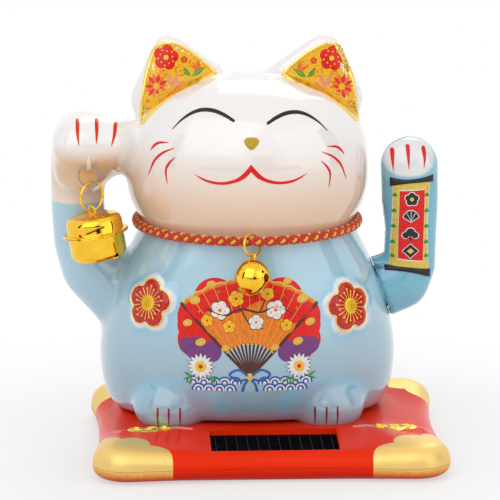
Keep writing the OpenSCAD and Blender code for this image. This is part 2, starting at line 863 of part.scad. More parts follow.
module collar_bell_bottom() {
  slot_rise = ball_r * cos(slot_reach);
  color("gold")
    at_ball() difference() {
      ball_half(-1);
      rotate([0, 0, slot_turn]) {
        translate([-ball_r, -slot_w / 2, -ball_r - 1]) cube([2 * ball_r, slot_w, ball_r + 1 - slot_rise]);
        for (side = [-1, 1])
          rotate([0, side * slot_reach, 0]) translate([0, 0, -ball_r - 1]) cylinder(r = slot_hole_r, h = 3);
      }
    }
}

module collar_bell_pellet() {
  pellet_r = 1.9;
  color("silver")
    at_ball() translate([0, 0, -ball_r + sheet + pellet_r + 0.4]) sphere(r = pellet_r);
}

// ---- Flat bell at the paw ----

ring_middle = lug + [0, 0, lug_hole_r - wire - ring_r - 0.1];
ring_hold = ring_middle + (ring_r - wire - loop_wire - 0.25) * [sin(loop_slip), 0, -cos(loop_slip)];
loop_centre = ring_hold - [0, 0, loop_r];
loop_bottom = loop_centre - [0, 0, loop_r];
eye_lift = eye_r - 0.2;

// Places children in the flat bell's frame: origin in the middle of its flange
module at_bell() {
  on_seat() translate(loop_bottom)
    rotate([0, -bell_tilt, 0])
      translate([0, 0, wire + loop_wire - bell_cap_h - eye_lift - eye_r]) children();
}

module paw_ring() {
  color("silver")
    on_seat() translate(ring_middle) rotate([90, 0, 0]) torus(ring_r, wire);
}

module paw_loop() {
  color("gold")
    on_seat() translate(loop_centre) rotate([90, 0, loop_turn]) torus(loop_r, loop_wire);
}

// Half section of a round-cornered drum
module drum_section(r, h, corner) {
  square([r - corner, h]);
  square([r, h - corner]);
  translate([r - corner, h - corner]) circle(r = corner);
}

module bell_wall(r, h) {
  intersection() {
    difference() {
      drum_section(r, h, bell_round);
      drum_section(r - sheet, h - sheet, bell_round - sheet);
    }
    square([r + 1, h + 1]);
  }
  translate([r - sheet, 0]) square([flange_w + sheet, sheet]);
}

module paw_bell_cap() {
  color("gold")
    at_bell() {
      rotate_extrude() bell_wall(bell_d / 2, bell_cap_h);
      translate([0, 0, bell_cap_h + eye_lift]) rotate([90, 0, loop_turn - 90]) torus(eye_r, wire);
    }
}

module paw_bell_cup() {
  slot_r = bell_d / 2 - bell_round;
  color("gold")
    at_bell() mirror([0, 0, 1]) translate([0, 0, 0.02]) difference() {
      rotate_extrude() bell_wall(bell_d / 2, bell_cup_h);
      translate([0, 0, bell_cup_h - 1]) rotate([0, 0, 60]) {
        translate([-slot_r, -0.6, 0]) cube([2 * slot_r, 1.2, 4]);
        for (x = [-1, 1]) translate([x * slot_r, 0, 0]) cylinder(r = 1.5, h = 4);
      }
    }
}

module paw_bell_pellet() {
  pellet_r = 2.6;
  color("silver")
    at_bell() translate([2, 0, -bell_cup_h + sheet + pellet_r + 0.1]) sphere(r = pellet_r);
}

ceramic_cat();
collar_cord();
collar_crimp();
base_upper_shell();
base_lower_shell();
base_screws();
solar_cell();
circuit_board();
board_screws();
driver_chip();
capacitor();
coil_bobbin();
drive_coil();
lead_red();
lead_black();
pivot_bracket();
bracket_screws();
pivot_pin();
swing_lever();
magnet();
counterweight();
arm_front_shell();
arm_back_shell();
arm_screw();
scroll_label();
collar_ring();
collar_bell_top();
collar_bell_bottom();
collar_bell_pellet();
paw_ring();
paw_loop();
paw_bell_cap();
paw_bell_cup();
paw_bell_pellet();
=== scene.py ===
import json
import math
from functools import partial
import bpy
import bmesh
from mathutils import Matrix, Vector
from mathutils.bvhtree import BVHTree
from mathutils.geometry import delaunay_2d_cdt


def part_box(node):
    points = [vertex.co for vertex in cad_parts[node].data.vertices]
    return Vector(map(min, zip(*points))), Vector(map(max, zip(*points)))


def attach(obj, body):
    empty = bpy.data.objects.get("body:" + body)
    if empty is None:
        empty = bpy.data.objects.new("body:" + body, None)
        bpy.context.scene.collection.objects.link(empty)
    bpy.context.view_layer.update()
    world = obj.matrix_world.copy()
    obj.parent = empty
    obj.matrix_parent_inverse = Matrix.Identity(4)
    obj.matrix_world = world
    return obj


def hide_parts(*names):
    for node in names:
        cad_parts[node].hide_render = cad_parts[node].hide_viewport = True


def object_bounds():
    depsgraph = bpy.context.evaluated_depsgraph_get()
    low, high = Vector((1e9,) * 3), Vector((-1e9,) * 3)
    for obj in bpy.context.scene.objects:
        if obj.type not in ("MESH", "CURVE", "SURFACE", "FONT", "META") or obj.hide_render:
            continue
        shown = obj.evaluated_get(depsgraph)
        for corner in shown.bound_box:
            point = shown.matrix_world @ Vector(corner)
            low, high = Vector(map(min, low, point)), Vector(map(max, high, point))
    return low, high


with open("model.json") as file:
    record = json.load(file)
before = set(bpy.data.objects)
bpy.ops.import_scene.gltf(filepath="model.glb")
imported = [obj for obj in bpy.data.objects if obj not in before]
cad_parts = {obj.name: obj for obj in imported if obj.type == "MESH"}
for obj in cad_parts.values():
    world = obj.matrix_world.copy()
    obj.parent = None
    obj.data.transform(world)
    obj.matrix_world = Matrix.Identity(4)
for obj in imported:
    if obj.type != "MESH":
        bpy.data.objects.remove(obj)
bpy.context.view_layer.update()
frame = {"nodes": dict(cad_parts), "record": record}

mm = 0.001
nodes = frame["nodes"]
rightward, upward, inward = Vector((1, 0, 0)), Vector((0, 0, 1)), Vector((0, 1, 0))
catMiddle = sum(corner.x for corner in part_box("collar_cord")) / 2

# Where things stand in the photograph, 500 x 500
imagePoints = {
    "objectLeft": (49, None), "objectRight": (454, None), "objectTop": (None, 33), "objectBottom": (None, 481),
    "nose": (251.5, 144), "leftEye": (203, 120.5), "rightEye": (297.8, 122.6), "mouth": (251.2, 174.8),
    "leftWhiskers": (161.3, 163.2), "rightWhiskers": (334.4, 166.8),
    "leftEar": (177.9, 82.1), "rightEar": (320.4, 83),
    "leftBlossom": (149.5, 303), "rightBlossom": (349, 306), "belly": (249, 336),
    "pawClaws": (96.3, 133.3), "armClaws": (408.5, 159), "scroll": (408.5, 225.8),
    "collarBell": (250.2, 275.2), "pawBell": (94, 238.5),
}

shot = {"azimuth": -2.5, "elevation": 12, "distance": 1.5, "target": (-0.0055, 0.012, 0.0718),
        "lens": 289.3, "sensorWidth": 36, "frame": (500, 500)}


def makeCamera():
    data = bpy.data.cameras.new("camera")
    data.lens, data.sensor_width, data.sensor_fit = shot["lens"], shot["sensorWidth"], "AUTO"
    data.clip_start, data.clip_end = 0.05, 30
    turn, rise = math.radians(shot["azimuth"]), math.radians(shot["elevation"])
    back = Vector((math.sin(turn) * math.cos(rise), -math.cos(turn) * math.cos(rise), math.sin(rise)))
    camera = bpy.data.objects.new("camera", data)
    camera.location = Vector(shot["target"]) + back * shot["distance"]
    camera.rotation_euler = (-back).to_track_quat("-Z", "Y").to_euler()
    bpy.context.scene.collection.objects.link(camera)
    bpy.context.scene.camera = camera
    bpy.context.view_layer.update()
    return camera


camera = makeCamera()


def pixelRay(x, y):
    data, (w, h) = camera.data, shot["frame"]
    ahead = Vector((x - w / 2, h / 2 - y, -max(w, h) * data.lens / data.sensor_width))
    return camera.matrix_world.translation.copy(), (camera.matrix_world.to_3x3() @ ahead).normalized()


def pixelOf(point):
    data, (w, h) = camera.data, shot["frame"]
    p = camera.matrix_world.inverted() @ point
    scale = max(w, h) * data.lens / data.sensor_width / -p.z
    return w / 2 + p.x * scale, h / 2 - p.y * scale


# Where the ray through a named image point meets a surface; a miss takes the place nearest the ray
def meet(name, tree):
    start, ahead = pixelRay(*imagePoints[name])
    point = tree.ray_cast(start, ahead)[0]
    if point is None:
        reach = shot["distance"]
        for step in range(6):
            point = tree.find_nearest(start + ahead * reach)[0]
            reach = (point - start).dot(ahead)
    return point


shown = {}  # piece of the picture -> the pieces that show it


def treeOf(*objects):
    points, faces = [], []
    for obj in objects:
        base = len(points)
        points += [v.co.copy() for v in obj.data.vertices]
        faces += [[base + k for k in p.vertices] for p in obj.data.polygons]
    return BVHTree.FromPolygons(points, faces)


def addNode(tree, kind, inputs=(), **settings):
    made = tree.nodes.new(kind)
    for key, value in settings.items():
        setattr(made, key, value)
    for key, value in dict(inputs).items():
        socket = made.inputs[key]
        if isinstance(value, bpy.types.NodeSocket):
            tree.links.new(value, socket)
        else:
            socket.default_value = value
    return made


def maths(tree, operation, *values):
    return addNode(tree, "ShaderNodeMath", dict(enumerate(values)), operation=operation).outputs[0]


def blendColor(tree, factor, a, b):
    a, b = (c if isinstance(c, bpy.types.NodeSocket) else (*c, 1) for c in (a, b))
    return addNode(tree, "ShaderNodeMix", {0: factor, 6: a, 7: b}, data_type="RGBA").outputs[2]


def ramp(tree, value, low, high, to=(0, 1)):
    return addNode(tree, "ShaderNodeMapRange", {0: value, 1: low, 2: high, 3: to[0], 4: to[1]},
                   interpolation_type="SMOOTHSTEP").outputs[0]


def noise(tree, place, scale, detail):
    return addNode(tree, "ShaderNodeTexNoise", {"Vector": place, "Scale": scale, "Detail": detail}).outputs[0]


def objectPlace(tree):
    return addNode(tree, "ShaderNodeTexCoord").outputs["Object"]


def splitUp(tree, place):
    return addNode(tree, "ShaderNodeSeparateXYZ", {0: place}).outputs


# Wires colour, roughness and a bump into a material's shader
def wire(tree, shader, tint, rough, height, strength, distance):
    bump = addNode(tree, "ShaderNodeBump", {"Height": height, "Strength": strength, "Distance": distance * mm})
    for value, key in ((tint, "Base Color"), (rough, "Roughness"), (bump.outputs[0], "Normal")):
        tree.links.new(value, shader.inputs[key])


def newMaterial(name, look):
    made = bpy.data.materials.new(name)
    made.use_nodes = True
    shader = made.node_tree.nodes["Principled BSDF"]
    sockets = {"metal": "Metallic", "coat": "Coat Weight", "coatRoughness": "Coat Roughness",
               "specular": "Specular IOR Level", "sheen": "Sheen Weight"}
    for key, socket in sockets.items():
        if key in look:
            shader.inputs[socket].default_value = look[key]
    made.diffuse_color = (*look["color"], 1)
    return made, made.node_tree, shader


# A finish with grain: colour, roughness and a fine bump all follow noise on Object coordinates
def grained(name, look, color=None):
    made, tree, shader = newMaterial(name, look)
    place = objectPlace(tree)
    cloud = noise(tree, place, look["grain"], 4)
    if color:
        tint = color(tree, place, cloud)
    else:
        tint = blendColor(tree, ramp(tree, cloud, 0.35, 0.65), look["shade"], look["color"])
    fine = noise(tree, place, look["grain"] * look.get("fine", 4), 3)
    wire(tree, shader, tint, ramp(tree, cloud, 0.3, 0.7, look["roughness"]), fine,
         look.get("bumpStrength", 0.4), look["bump"])
    return made


glaze = {"color": (0.90, 0.87, 0.85), "roughness": (0.10, 0.16), "coat": 0.8, "coatRoughness": 0.03,
         "grain": 60, "bump": 0.05, "bumpStrength": 0.3, "fine": 1.5}
# Painted light among these colours: the peach at the neck (shade and warm bounce light), the tan under the paw and
# the slate low on the body (shade)
glazeColors = {
    "white": (0.92, 0.885, 0.86), "neckShade": (0.80, 0.56, 0.40), "palmShade": (0.74, 0.47, 0.27),
    "sky": (0.41, 0.63, 0.76), "lowShade": (0.32, 0.47, 0.57), "deep": (0.26, 0.56, 0.76), "pale": (0.74, 0.80, 0.84),
    "collarHeight": 82.8, "wristHeight": 91.2, "armSide": -54, "neckShadeFrom": 88, "neckShadeTo": 121,
    "palmShadeLow": (90, 104), "palmShadeHigh": (117, 107), "palmShadeLeast": 0.35, "lowShadeFrom": 66, "lowShadeTo": 22,
    "edgeSoft": 0.25, "sideSoft": 1.5,
}


# White head darkening to peach at the neck as painted shade and warm bounce light, sky blue body darkening to slate
# low down as painted shade, white paw with a tan palm of painted shade under its overhang
def glazeColor(tree, place, cloud):
    sums, blend = partial(maths, tree), partial(blendColor, tree)
    c = glazeColors
    axes = splitUp(tree, place)
    x, z = axes[0], axes[2]
    onArm = ramp(tree, x, (c["armSide"] + c["sideSoft"]) * mm, (c["armSide"] - c["sideSoft"]) * mm)
    edge = sums("MULTIPLY_ADD", onArm, (c["wristHeight"] - c["collarHeight"]) * mm, c["collarHeight"] * mm)
    above = ramp(tree, sums("SUBTRACT", z, edge), -c["edgeSoft"] * mm, c["edgeSoft"] * mm)
    # Painted shade and warm bounce light: the white head turns peach towards the neck
    neckShadeShare = ramp(tree, z, c["neckShadeTo"] * mm, c["neckShadeFrom"] * mm)
    white = blend(sums("MULTIPLY", neckShadeShare, sums("SUBTRACT", 1.0, onArm)),
                       c["white"], c["neckShade"])
    # Painted shade: tan where the overhanging paw shades its palm and the wrist below it
    palmShadeTop, palmShadeFoot = ([h * mm for h in c[key]] for key in ("palmShadeHigh", "palmShadeLow"))
    palmShadeShare = sums("MULTIPLY", ramp(tree, z, *palmShadeTop), ramp(tree, z, *palmShadeFoot, (c["palmShadeLeast"], 1)))
    white = blend(sums("MULTIPLY", palmShadeShare, onArm), white, c["palmShade"])
    # Painted shade: the sky blue body darkens to slate towards its foot, by amounts that follow the noise
    low = ramp(tree, z, c["lowShadeFrom"] * mm, c["lowShadeTo"] * mm)
    blue = blend(sums("MULTIPLY", low, ramp(tree, cloud, 0.2, 0.8, (0.8, 1))), c["sky"], c["lowShade"])
    for key, color in (("halo", c["deep"]), ("relief", c["pale"])):
        blue = blend(addNode(tree, "ShaderNodeAttribute", attribute_name=key).outputs["Fac"], blue, color)
    return blend(above, blue, white)


def paint(color, roughness=(0.22, 0.34), shade=0.86, coat=0.12, grain=900, bump=0.01, **more):
    look = {"color": color, "shade": tuple(c * shade for c in color), "roughness": roughness, "coat": coat,
            "coatRoughness": 0.06, "specular": 0.3, "grain": grain, "bump": bump}
    return {**look, **more}


def metal(color, roughness, grain=700, bump=0.004, shade=0.9):
    return {"color": color, "shade": tuple(c * shade for c in color), "roughness": roughness, "metal": 1.0,
            "grain": grain, "bump": bump}


looks = {
    "eyeBlack": paint((0.004, 0.005, 0.006)), "mouthRed": paint((0.80, 0.006, 0.010)),
    "whiskerRed": paint((0.74, 0.010, 0.012)), "noseMustard": paint((0.60, 0.36, 0.012), shade=0.75, grain=1500),
    "clawRed": paint((0.78, 0.008, 0.006)), "clawOrange": paint((0.93, 0.36, 0.03)),
    "footRed": paint((0.36, 0.018, 0.02)), "inlayYellow": paint((0.90, 0.50, 0.012), shade=0.9),
    "inlayRed": paint((0.80, 0.010, 0.008)), "inlayOrange": paint((0.86, 0.19, 0.02)),
    "inlayPink": paint((0.86, 0.25, 0.22)), "inlayGreen": paint((0.03, 0.32, 0.04)),
    "petalRed": paint((0.60, 0.010, 0.008), shade=0.75, coat=0.5),
    "paintYellow": paint((0.92, 0.60, 0.02), shade=0.85), "paintOrange": paint((0.88, 0.22, 0.015)),
    "paintWhite": paint((0.88, 0.87, 0.84)), "paintBrown": paint((0.10, 0.025, 0.012)),
    "paintBlue": paint((0.02, 0.12, 0.48)), "paintPurple": paint((0.20, 0.05, 0.22)),
    "paintInk": paint((0.02, 0.018, 0.02)), "foilGold": paint((0.82, 0.60, 0.10), shade=0.8, grain=2500, bump=0.02),
    "goldLine": metal((0.95, 0.68, 0.16), (0.22, 0.34)), "mirrorGold": metal((0.98, 0.58, 0.045), (0.04, 0.09), 300),
    "wireGold": metal((0.98, 0.58, 0.05), (0.10, 0.18)), "wireSteel": metal((0.34, 0.33, 0.32), (0.14, 0.26)),
    "screwSteel": metal((0.55, 0.55, 0.56), (0.25, 0.4), 1500),
    "boardGreen": paint((0.02, 0.14, 0.05), grain=1200), "chipBlack": paint((0.02, 0.02, 0.022), (0.45, 0.6)),
    "canBlue": paint((0.03, 0.05, 0.14)), "copperWire": metal((0.85, 0.38, 0.20), (0.25, 0.4), 2500, 0.03),
    "bobbinWhite": paint((0.78, 0.76, 0.70), (0.4, 0.55)), "leadRed": paint((0.60, 0.02, 0.02), (0.4, 0.5)),
    "leadBlack": paint((0.02, 0.02, 0.02), (0.4, 0.5)), "leverWhite": paint((0.80, 0.80, 0.78), (0.35, 0.5)),
    "ferriteGrey": paint((0.10, 0.10, 0.11), (0.45, 0.6), grain=2000, bump=0.02),
    "brassCrimp": metal((0.90, 0.60, 0.15), (0.2, 0.35)), "cordRed": paint((0.72, 0.022, 0.012), (0.5, 0.7), 0.55,
                                                                         0.0, 5000, 0.06, sheen=0.4),
    "cordYellow": paint((0.90, 0.55, 0.02), (0.4, 0.6), 0.7, 0.0, 5000, 0.06, sheen=0.3),
    "cordCore": paint((0.30, 0.01, 0.01), (0.6, 0.8), 0.6, 0.0, 3000, 0.05),
    "windowBlack": paint((0.006, 0.006, 0.009), (0.16, 0.26), 0.6, 0.0, 250, specular=0.0),
    "busbar": paint((0.045, 0.04, 0.045), (0.3, 0.4)), "card": paint((0.04, 0.035, 0.03), (0.9, 1.0)),
}

armColors = {"sky": (0.17, 0.46, 0.60), "pale": (0.36, 0.62, 0.72), "pad": (0.80, 0.79, 0.80),
             "center": (53.6, 106.6), "half": (9.4, 6.6), "soft": 0.10, "power": 2.4, "front": (16, 14.5),
             "rim": (1.7, 1.05), "rimShare": 0.5, "bright": 1.06}


# Blue arm with a white pad inside an ellipse on its front
def armColor(tree, place, cloud):
    sums, blend = partial(maths, tree), partial(blendColor, tree)
    c = armColors
    x, y, z = splitUp(tree, place)
    powers = []
    for axis, center, half in zip((x, z), c["center"], c["half"]):
        share = sums("DIVIDE", sums("SUBTRACT", axis, center * mm), half * mm)
        powers.append(sums("POWER", sums("ABSOLUTE", share), c["power"]))
    far = sums("POWER", sums("ADD", *powers), 1 / c["power"])
    inPad = ramp(tree, far, 1 + c["soft"], 1 - c["soft"])
    front = ramp(tree, y, *(v * mm for v in c["front"]))
    blue = blend(ramp(tree, cloud, 0.3, 0.7), c["sky"], tuple(v * c["bright"] for v in c["sky"]))
    rim = sums("MULTIPLY", ramp(tree, far, *c["rim"]), front)
    blue = blend(sums("MULTIPLY", rim, c["rimShare"]), blue, c["pale"])
    return blend(sums("MULTIPLY", inPad, front), blue, c["pad"])


baseColors = {"red": (0.86, 0.030, 0.004), "dark": (0.62, 0.014, 0.003), "gold": (0.90, 0.62, 0.20),
              "lowGold": (0.80, 0.33, 0.03), "lobes": ((20.5, 2, 8.7), (12, 12, 9.2), (2, 20.5, 8.5)),
              "filled": 26, "edge": 0.12, "goldFrom": (0.4, 5.0), "redFrom": (1, 7), "lustreFrom": (3.5, 5.6),
              "cloud": 45, "grain": 900, "goldMetal": 0.6, "goldRough": 0.26, "bump": 0.12}


# Gold share of the base: three round lobes measured from each corner of its box, and all beyond them
def cornerMask(tree, axes, box):
    sums = partial(maths, tree)
    low, high = box
    inset = []
    for k in (0, 1):
        middle, half = (low[k] + high[k]) / 2, (high[k] - low[k]) / 2
        away = sums("ABSOLUTE", sums("SUBTRACT", axes[k], middle))
        inset.append(sums("SUBTRACT", half, away))
    inside = None
    for x, y, r in baseColors["lobes"]:
        dx = sums("SUBTRACT", inset[0], x * mm)
        dy = sums("SUBTRACT", inset[1], y * mm)
        squares = [sums("MULTIPLY", d, d) for d in (dx, dy)]
        far = sums("SQRT", sums("ADD", *squares))
        depth = sums("SUBTRACT", r * mm, far)
        inside = depth if inside is None else sums("MAXIMUM", inside, depth)
    beyond = sums("SUBTRACT", baseColors["filled"] * mm, sums("ADD", *inset))
    edge = baseColors["edge"] * mm
    return ramp(tree, sums("MAXIMUM", inside, beyond), -edge, edge)


def baseMaterial():
    c = baseColors
    look = {"color": c["red"], "coat": 0.05, "coatRoughness": 0.05, "specular": 0.05}
    made, tree, shader = newMaterial("moulded red and gold", look)
    sums, blend, place = partial(maths, tree), partial(blendColor, tree), objectPlace(tree)
    axes = splitUp(tree, place)
    cloud = noise(tree, place, c["cloud"], 3)
    grain = noise(tree, addNode(tree, "ShaderNodeMapping", {0: place, 3: (1, 1, 6)}).outputs[0], c["grain"], 5)

    def heightShare(key):
        return ramp(tree, axes[2], *(h * mm for h in c[key]))

    corner = cornerMask(tree, axes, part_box("base_upper_shell"))
    gold = sums("MULTIPLY", corner, heightShare("goldFrom"))
    red = blend(heightShare("redFrom"), c["dark"], c["red"])
    lustre = blend(heightShare("lustreFrom"), c["lowGold"], c["gold"])
    lustre = blend(ramp(tree, grain, 0.35, 0.65), lustre, c["gold"])
    tree.links.new(sums("MULTIPLY", gold, c["goldMetal"]), shader.inputs["Metallic"])
    rough = sums("ADD", ramp(tree, cloud, 0.3, 0.7, (0.13, 0.2)), sums("MULTIPLY", gold, c["goldRough"]))
    height = sums("ADD", sums("MULTIPLY", grain, sums("MULTIPLY", corner, 0.12)), corner)
    wire(tree, shader, blend(gold, red, lustre), rough, height, 0.5, c["bump"])
    return made


materials = {name: grained(name, look) for name, look in looks.items()}
materials["glaze"] = grained("glazed ceramic", glaze, glazeColor)
armLook = {**glaze, "color": armColors["sky"], "roughness": (0.16, 0.24)}
materials["armGlaze"] = grained("painted arm", armLook, armColor)
materials["base"] = baseMaterial()
print("materials made:", len(materials))


def addObject(name, mesh):
    obj = bpy.data.objects.new(name, mesh)
    bpy.context.scene.collection.objects.link(obj)
    return obj


def objectFrom(name, points, faces):
    mesh = bpy.data.meshes.new(name)
    mesh.from_pydata(points, [], faces)
    return addObject(name, mesh)


def evaluated(obj, name):
    graph = bpy.context.evaluated_depsgraph_get()
    mesh = bpy.data.meshes.new_from_object(obj.evaluated_get(graph))
    mesh.name = name
    bpy.data.objects.remove(obj)
    return addObject(name, mesh)


def setFinish(obj, *names, sharp=None):
    obj.data.materials.clear()
    for name in names:
        obj.data.materials.append(materials[name])
    obj.data.shade_smooth()
    if sharp:
        obj.data.set_sharp_from_angle(angle=math.radians(sharp))


def settle(obj, body, slot, *replaced):
    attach(obj, body)
    if replaced:
        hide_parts(*replaced)
    return obj


# Least and greatest coordinates of some points
def extent(points, size=3):
    return [[pick(p[k] for p in points) for k in range(size)] for pick in (min, max)]


# Points and faces of a piece in the making, and the placer that its patches and strokes are laid with
def newSheet(place=None):
    return {"points": [], "faces": [], "slots": [], "place": place}


def addFace(sheet, corners, slot):
    sheet["faces"].append(corners)
    sheet["slots"].append(slot)


# Closes a grid of points, rows long and wide across, into a tube that joins itself both ways
def addTube(sheet, base, rows, wide, slot):
    for k in range(rows):
        a, b = base + k * wide, base + (k + 1) % rows * wide
        for j in range(wide):
            i = (j + 1) % wide
            addFace(sheet, [a + j, a + i, b + i, b + j], slot)


def pieceFrom(name, sheet, finishes, body, slot, *replaced, sharp=40):
    obj = objectFrom(name, sheet["points"], sheet["faces"])
    setFinish(obj, *finishes, sharp=sharp)
    obj.data.polygons.foreach_set("material_index", sheet["slots"])
    return settle(obj, body, slot, *replaced)


# A CAD solid remeshed and smoothed, as its glaze or gloss rounds it
def softCopy(nodeName, name, voxel, rounds, extra=None):
    mesh = nodes[nodeName].data.copy()
    shape = bmesh.new()
    shape.from_mesh(mesh)
    bmesh.ops.remove_doubles(shape, verts=shape.verts, dist=1e-7)
    if extra:
        extra(shape)
    shape.to_mesh(mesh)
    shape.free()
    obj = addObject(name + " work", mesh)
    remesh = obj.modifiers.new("remesh", "REMESH")
    remesh.mode, remesh.voxel_size = "VOXEL", voxel * mm
    smooth = obj.modifiers.new("smooth", "SMOOTH")
    smooth.factor, smooth.iterations = 0.5, rounds
    return evaluated(obj, name)


# Turns offsets in millimetres round an anchor into places on a surface, looking along into
def placer(tree, anchor, right, up, into, reach=0.05):
    def place(u, v):
        start = anchor + right * (u * mm) + up * (v * mm) - into * reach
        point, normal = tree.ray_cast(start, into, 2 * reach)[:2]
        if point is None:
            point, normal = tree.find_nearest(start + into * reach)[:2]
        return point, (-normal if normal.dot(into) > 0 else normal)
    return place


def spline(points, per=8):
    ends = [2 * Vector(points[0]) - Vector(points[1])] + [Vector(p) for p in points]
    ends.append(2 * Vector(points[-1]) - Vector(points[-2]))
    found = []
    for k in range(1, len(ends) - 2):
        a, b, c, d = ends[k - 1:k + 3]
        for step in range(per):
            t = step / per
            found.append(0.5 * (2 * b + (c - a) * t + (2 * a - 5 * b + 4 * c - d) * t * t
                                + (3 * b - a - 3 * c + d) * t ** 3))
    return found + [ends[-2]]


# A closed outline from arcs that meet in corners
def outlineOf(*arcs, per=6):
    found = []
    for arc in arcs:
        found += spline(arc, per)[:-1]
    return found


def ringOf(radius, count=24, center=(0, 0), squash=1, turn=0):
    ring = []
    for k in range(count):
        a = 2 * math.pi * k / count
        p = Vector((radius * math.cos(a), radius * squash * math.sin(a)))
        ring.append(Vector(center) + Matrix.Rotation(turn, 2) @ p)
    return ring


# Outline of a flower: count round lobes of the given radius, with their middles on a ring
def lobes(reach, count=5, share=0.46, turn=90, steps=14, center=(0, 0)):
    lobe = reach * share
    middle, half = reach - lobe, math.pi / count
    ring = []
    for k in range(count * steps):
        a = -half + 2 * math.pi * k / (count * steps)
        phi = (a + half) % (2 * half) - half
        r = middle * math.cos(phi) + math.sqrt(max(0, lobe ** 2 - (middle * math.sin(phi)) ** 2))
        a += math.radians(turn)
        ring.append(Vector(center) + Vector((r * math.cos(a), r * math.sin(a))))
    return ring


# Outline of overlapping discs, each (x, y, radius), seen from the given middle
def cloud(discs, middle=(0, 0), steps=96):
    ring = []
    for k in range(steps):
        a = 2 * math.pi * k / steps
        way = Vector((math.cos(a), math.sin(a)))
        far = 0
        for x, y, r in discs:
            off = Vector((x, y)) - Vector(middle)
            along = off.dot(way)
            side = off.length_squared - along ** 2
            if side < r * r:
                far = max(far, along + math.sqrt(r * r - side))
        ring.append(Vector(middle) + way * far)
    return ring


def heading(degrees):
    a = math.radians(degrees)
    return Vector((math.cos(a), math.sin(a)))


def leaf(root, length, width, turn):
    way = heading(turn)
    side = Vector((-way.y, way.x)) * width / 2
    a, c = Vector(root), Vector(root) + way * length
    b = a + way * length * 0.45
    return outlineOf([a, b + side, c], [c, b - side, a], per=5)


def mirrored(points, side=-1):
    return [(side * p[0], p[1]) for p in points]


def evenly(ring, step):
    found, count = [], len(ring)
    for k, a in enumerate(ring):
        b = ring[(k + 1) % count]
        parts = max(1, round((b - a).length / step))
        found += [a.lerp(b, j / parts) for j in range(parts)]
    return [p for k, p in enumerate(found) if (p - found[k - 1]).length > 0.02]


def edgeDistance(p, ring):
    best = 1e9
    for k, a in enumerate(ring):
        b = ring[k - 1]
        span = b - a
        t = max(0, min(1, (p - a).dot(span) / max(span.length_squared, 1e-12)))
        best = min(best, (p - a - span * t).length_squared)
    return math.sqrt(best)


def insideRing(p, ring):
    odd = False
    for k, a in enumerate(ring):
        b = ring[k - 1]
        if (a.y > p.y) != (b.y > p.y) and p.x < (b.x - a.x) * (p.y - a.y) / (b.y - a.y) + a.x:
            odd = not odd
    return odd


# A patch of paint or foil: its outline laid on the surface, domed inwards from its rim, with a turned-down edge
def addPatch(sheet, outline, slot, lift=0.05, dome=0.0, rim=0.6, step=0.9, skirt=0.12):
    ring = evenly([Vector(p) for p in outline], step)
    low, high = extent(ring, 2)
    loose = []
    for i in range(1, int((high[0] - low[0]) / step) + 1):
        for j in range(1, int((high[1] - low[1]) / step) + 1):
            p = Vector((low[0] + i * step, low[1] + (j - 0.5 * (i % 2)) * step))
            if insideRing(p, ring) and edgeDistance(p, ring) > 0.45 * step:
                loose.append(p)
    flat, faces = delaunay_2d_cdt(ring + loose, [], [list(range(len(ring)))], 1, 1e-5)[:3:2]
    base = len(sheet["points"])
    normals = []
    for p in flat:
        point, normal = sheet["place"](p.x, p.y)
        rise = lift
        if dome:
            t = min(1, edgeDistance(p, ring) / rim)
            rise += dome * math.sqrt(max(0, 1 - (1 - t) ** 2))
        sheet["points"].append(point + normal * (rise * mm))
        normals.append(normal)
    uses = {}
    for face in faces:
        addFace(sheet, [base + k for k in face], slot)
        for k, a in enumerate(face):
            uses[(face[k - 1], a)] = True
    hems = {}
    for a, b in uses:
        if (b, a) in uses:
            continue
        for k in (a, b):
            if k not in hems:
                hems[k] = len(sheet["points"])
                sheet["points"].append(sheet["points"][base + k] - normals[k] * ((lift + skirt) * mm))
        addFace(sheet, [base + b, base + a, hems[a], hems[b]], slot)


# A brush stroke: a domed ribbon along a line, its half widths given at even shares of its length
def addStroke(sheet, line, halves, slot, lift=0.04, dome=0.12, per=8, closed=False):
    path = spline(list(line) + ([line[0]] if closed else []), per)
    count = len(path)
    rows = []
    for k, p in enumerate(path):
        share = k / (count - 1) * (len(halves) - 1)
        j = min(int(share), len(halves) - 2)
        half = halves[j] + (halves[j + 1] - halves[j]) * (share - j)
        before, after = path[max(0, k - 1)], path[min(count - 1, k + 1)]
        if closed and k in (0, count - 1):
            before, after = path[-2], path[1]
        way = (after - before).normalized()
        rows.append((p, way, half))
    if not closed:
        for end, sign in ((0, -1), (-1, 1)):
            p, way, half = rows[end]
            caps = [(p + way * sign * half * math.sin(a), way, half * max(0.04, math.cos(a)))
                    for a in (0.5, 1.0, 1.35, math.pi / 2)]
            rows = (list(reversed(caps)) + rows) if end == 0 else (rows + caps)
    across = ((-1, -0.14), (-0.98, 0), (-0.7, 0.7), (-0.25, 1), (0.25, 1), (0.7, 0.7), (0.98, 0), (1, -0.14))
    base = len(sheet["points"])
    for p, way, half in rows:
        side = Vector((-way.y, way.x))
        for share, rise in across:
            q = p - side * half * share
            point, normal = sheet["place"](q.x, q.y)
            up = lift + rise * dome if rise >= 0 else rise
            sheet["points"].append(point + normal * (up * mm))
    wide, long = len(across), len(rows)
    for k in range(long if closed else long - 1):
        for j in range(wide - 1):
            a, b = base + k * wide + j, base + (k + 1) % long * wide + j
            addFace(sheet, [a + 1, b + 1, b, a], slot)


def cross3(axis):
    side = axis.orthogonal().normalized()
    return side, axis.cross(side).normalized()


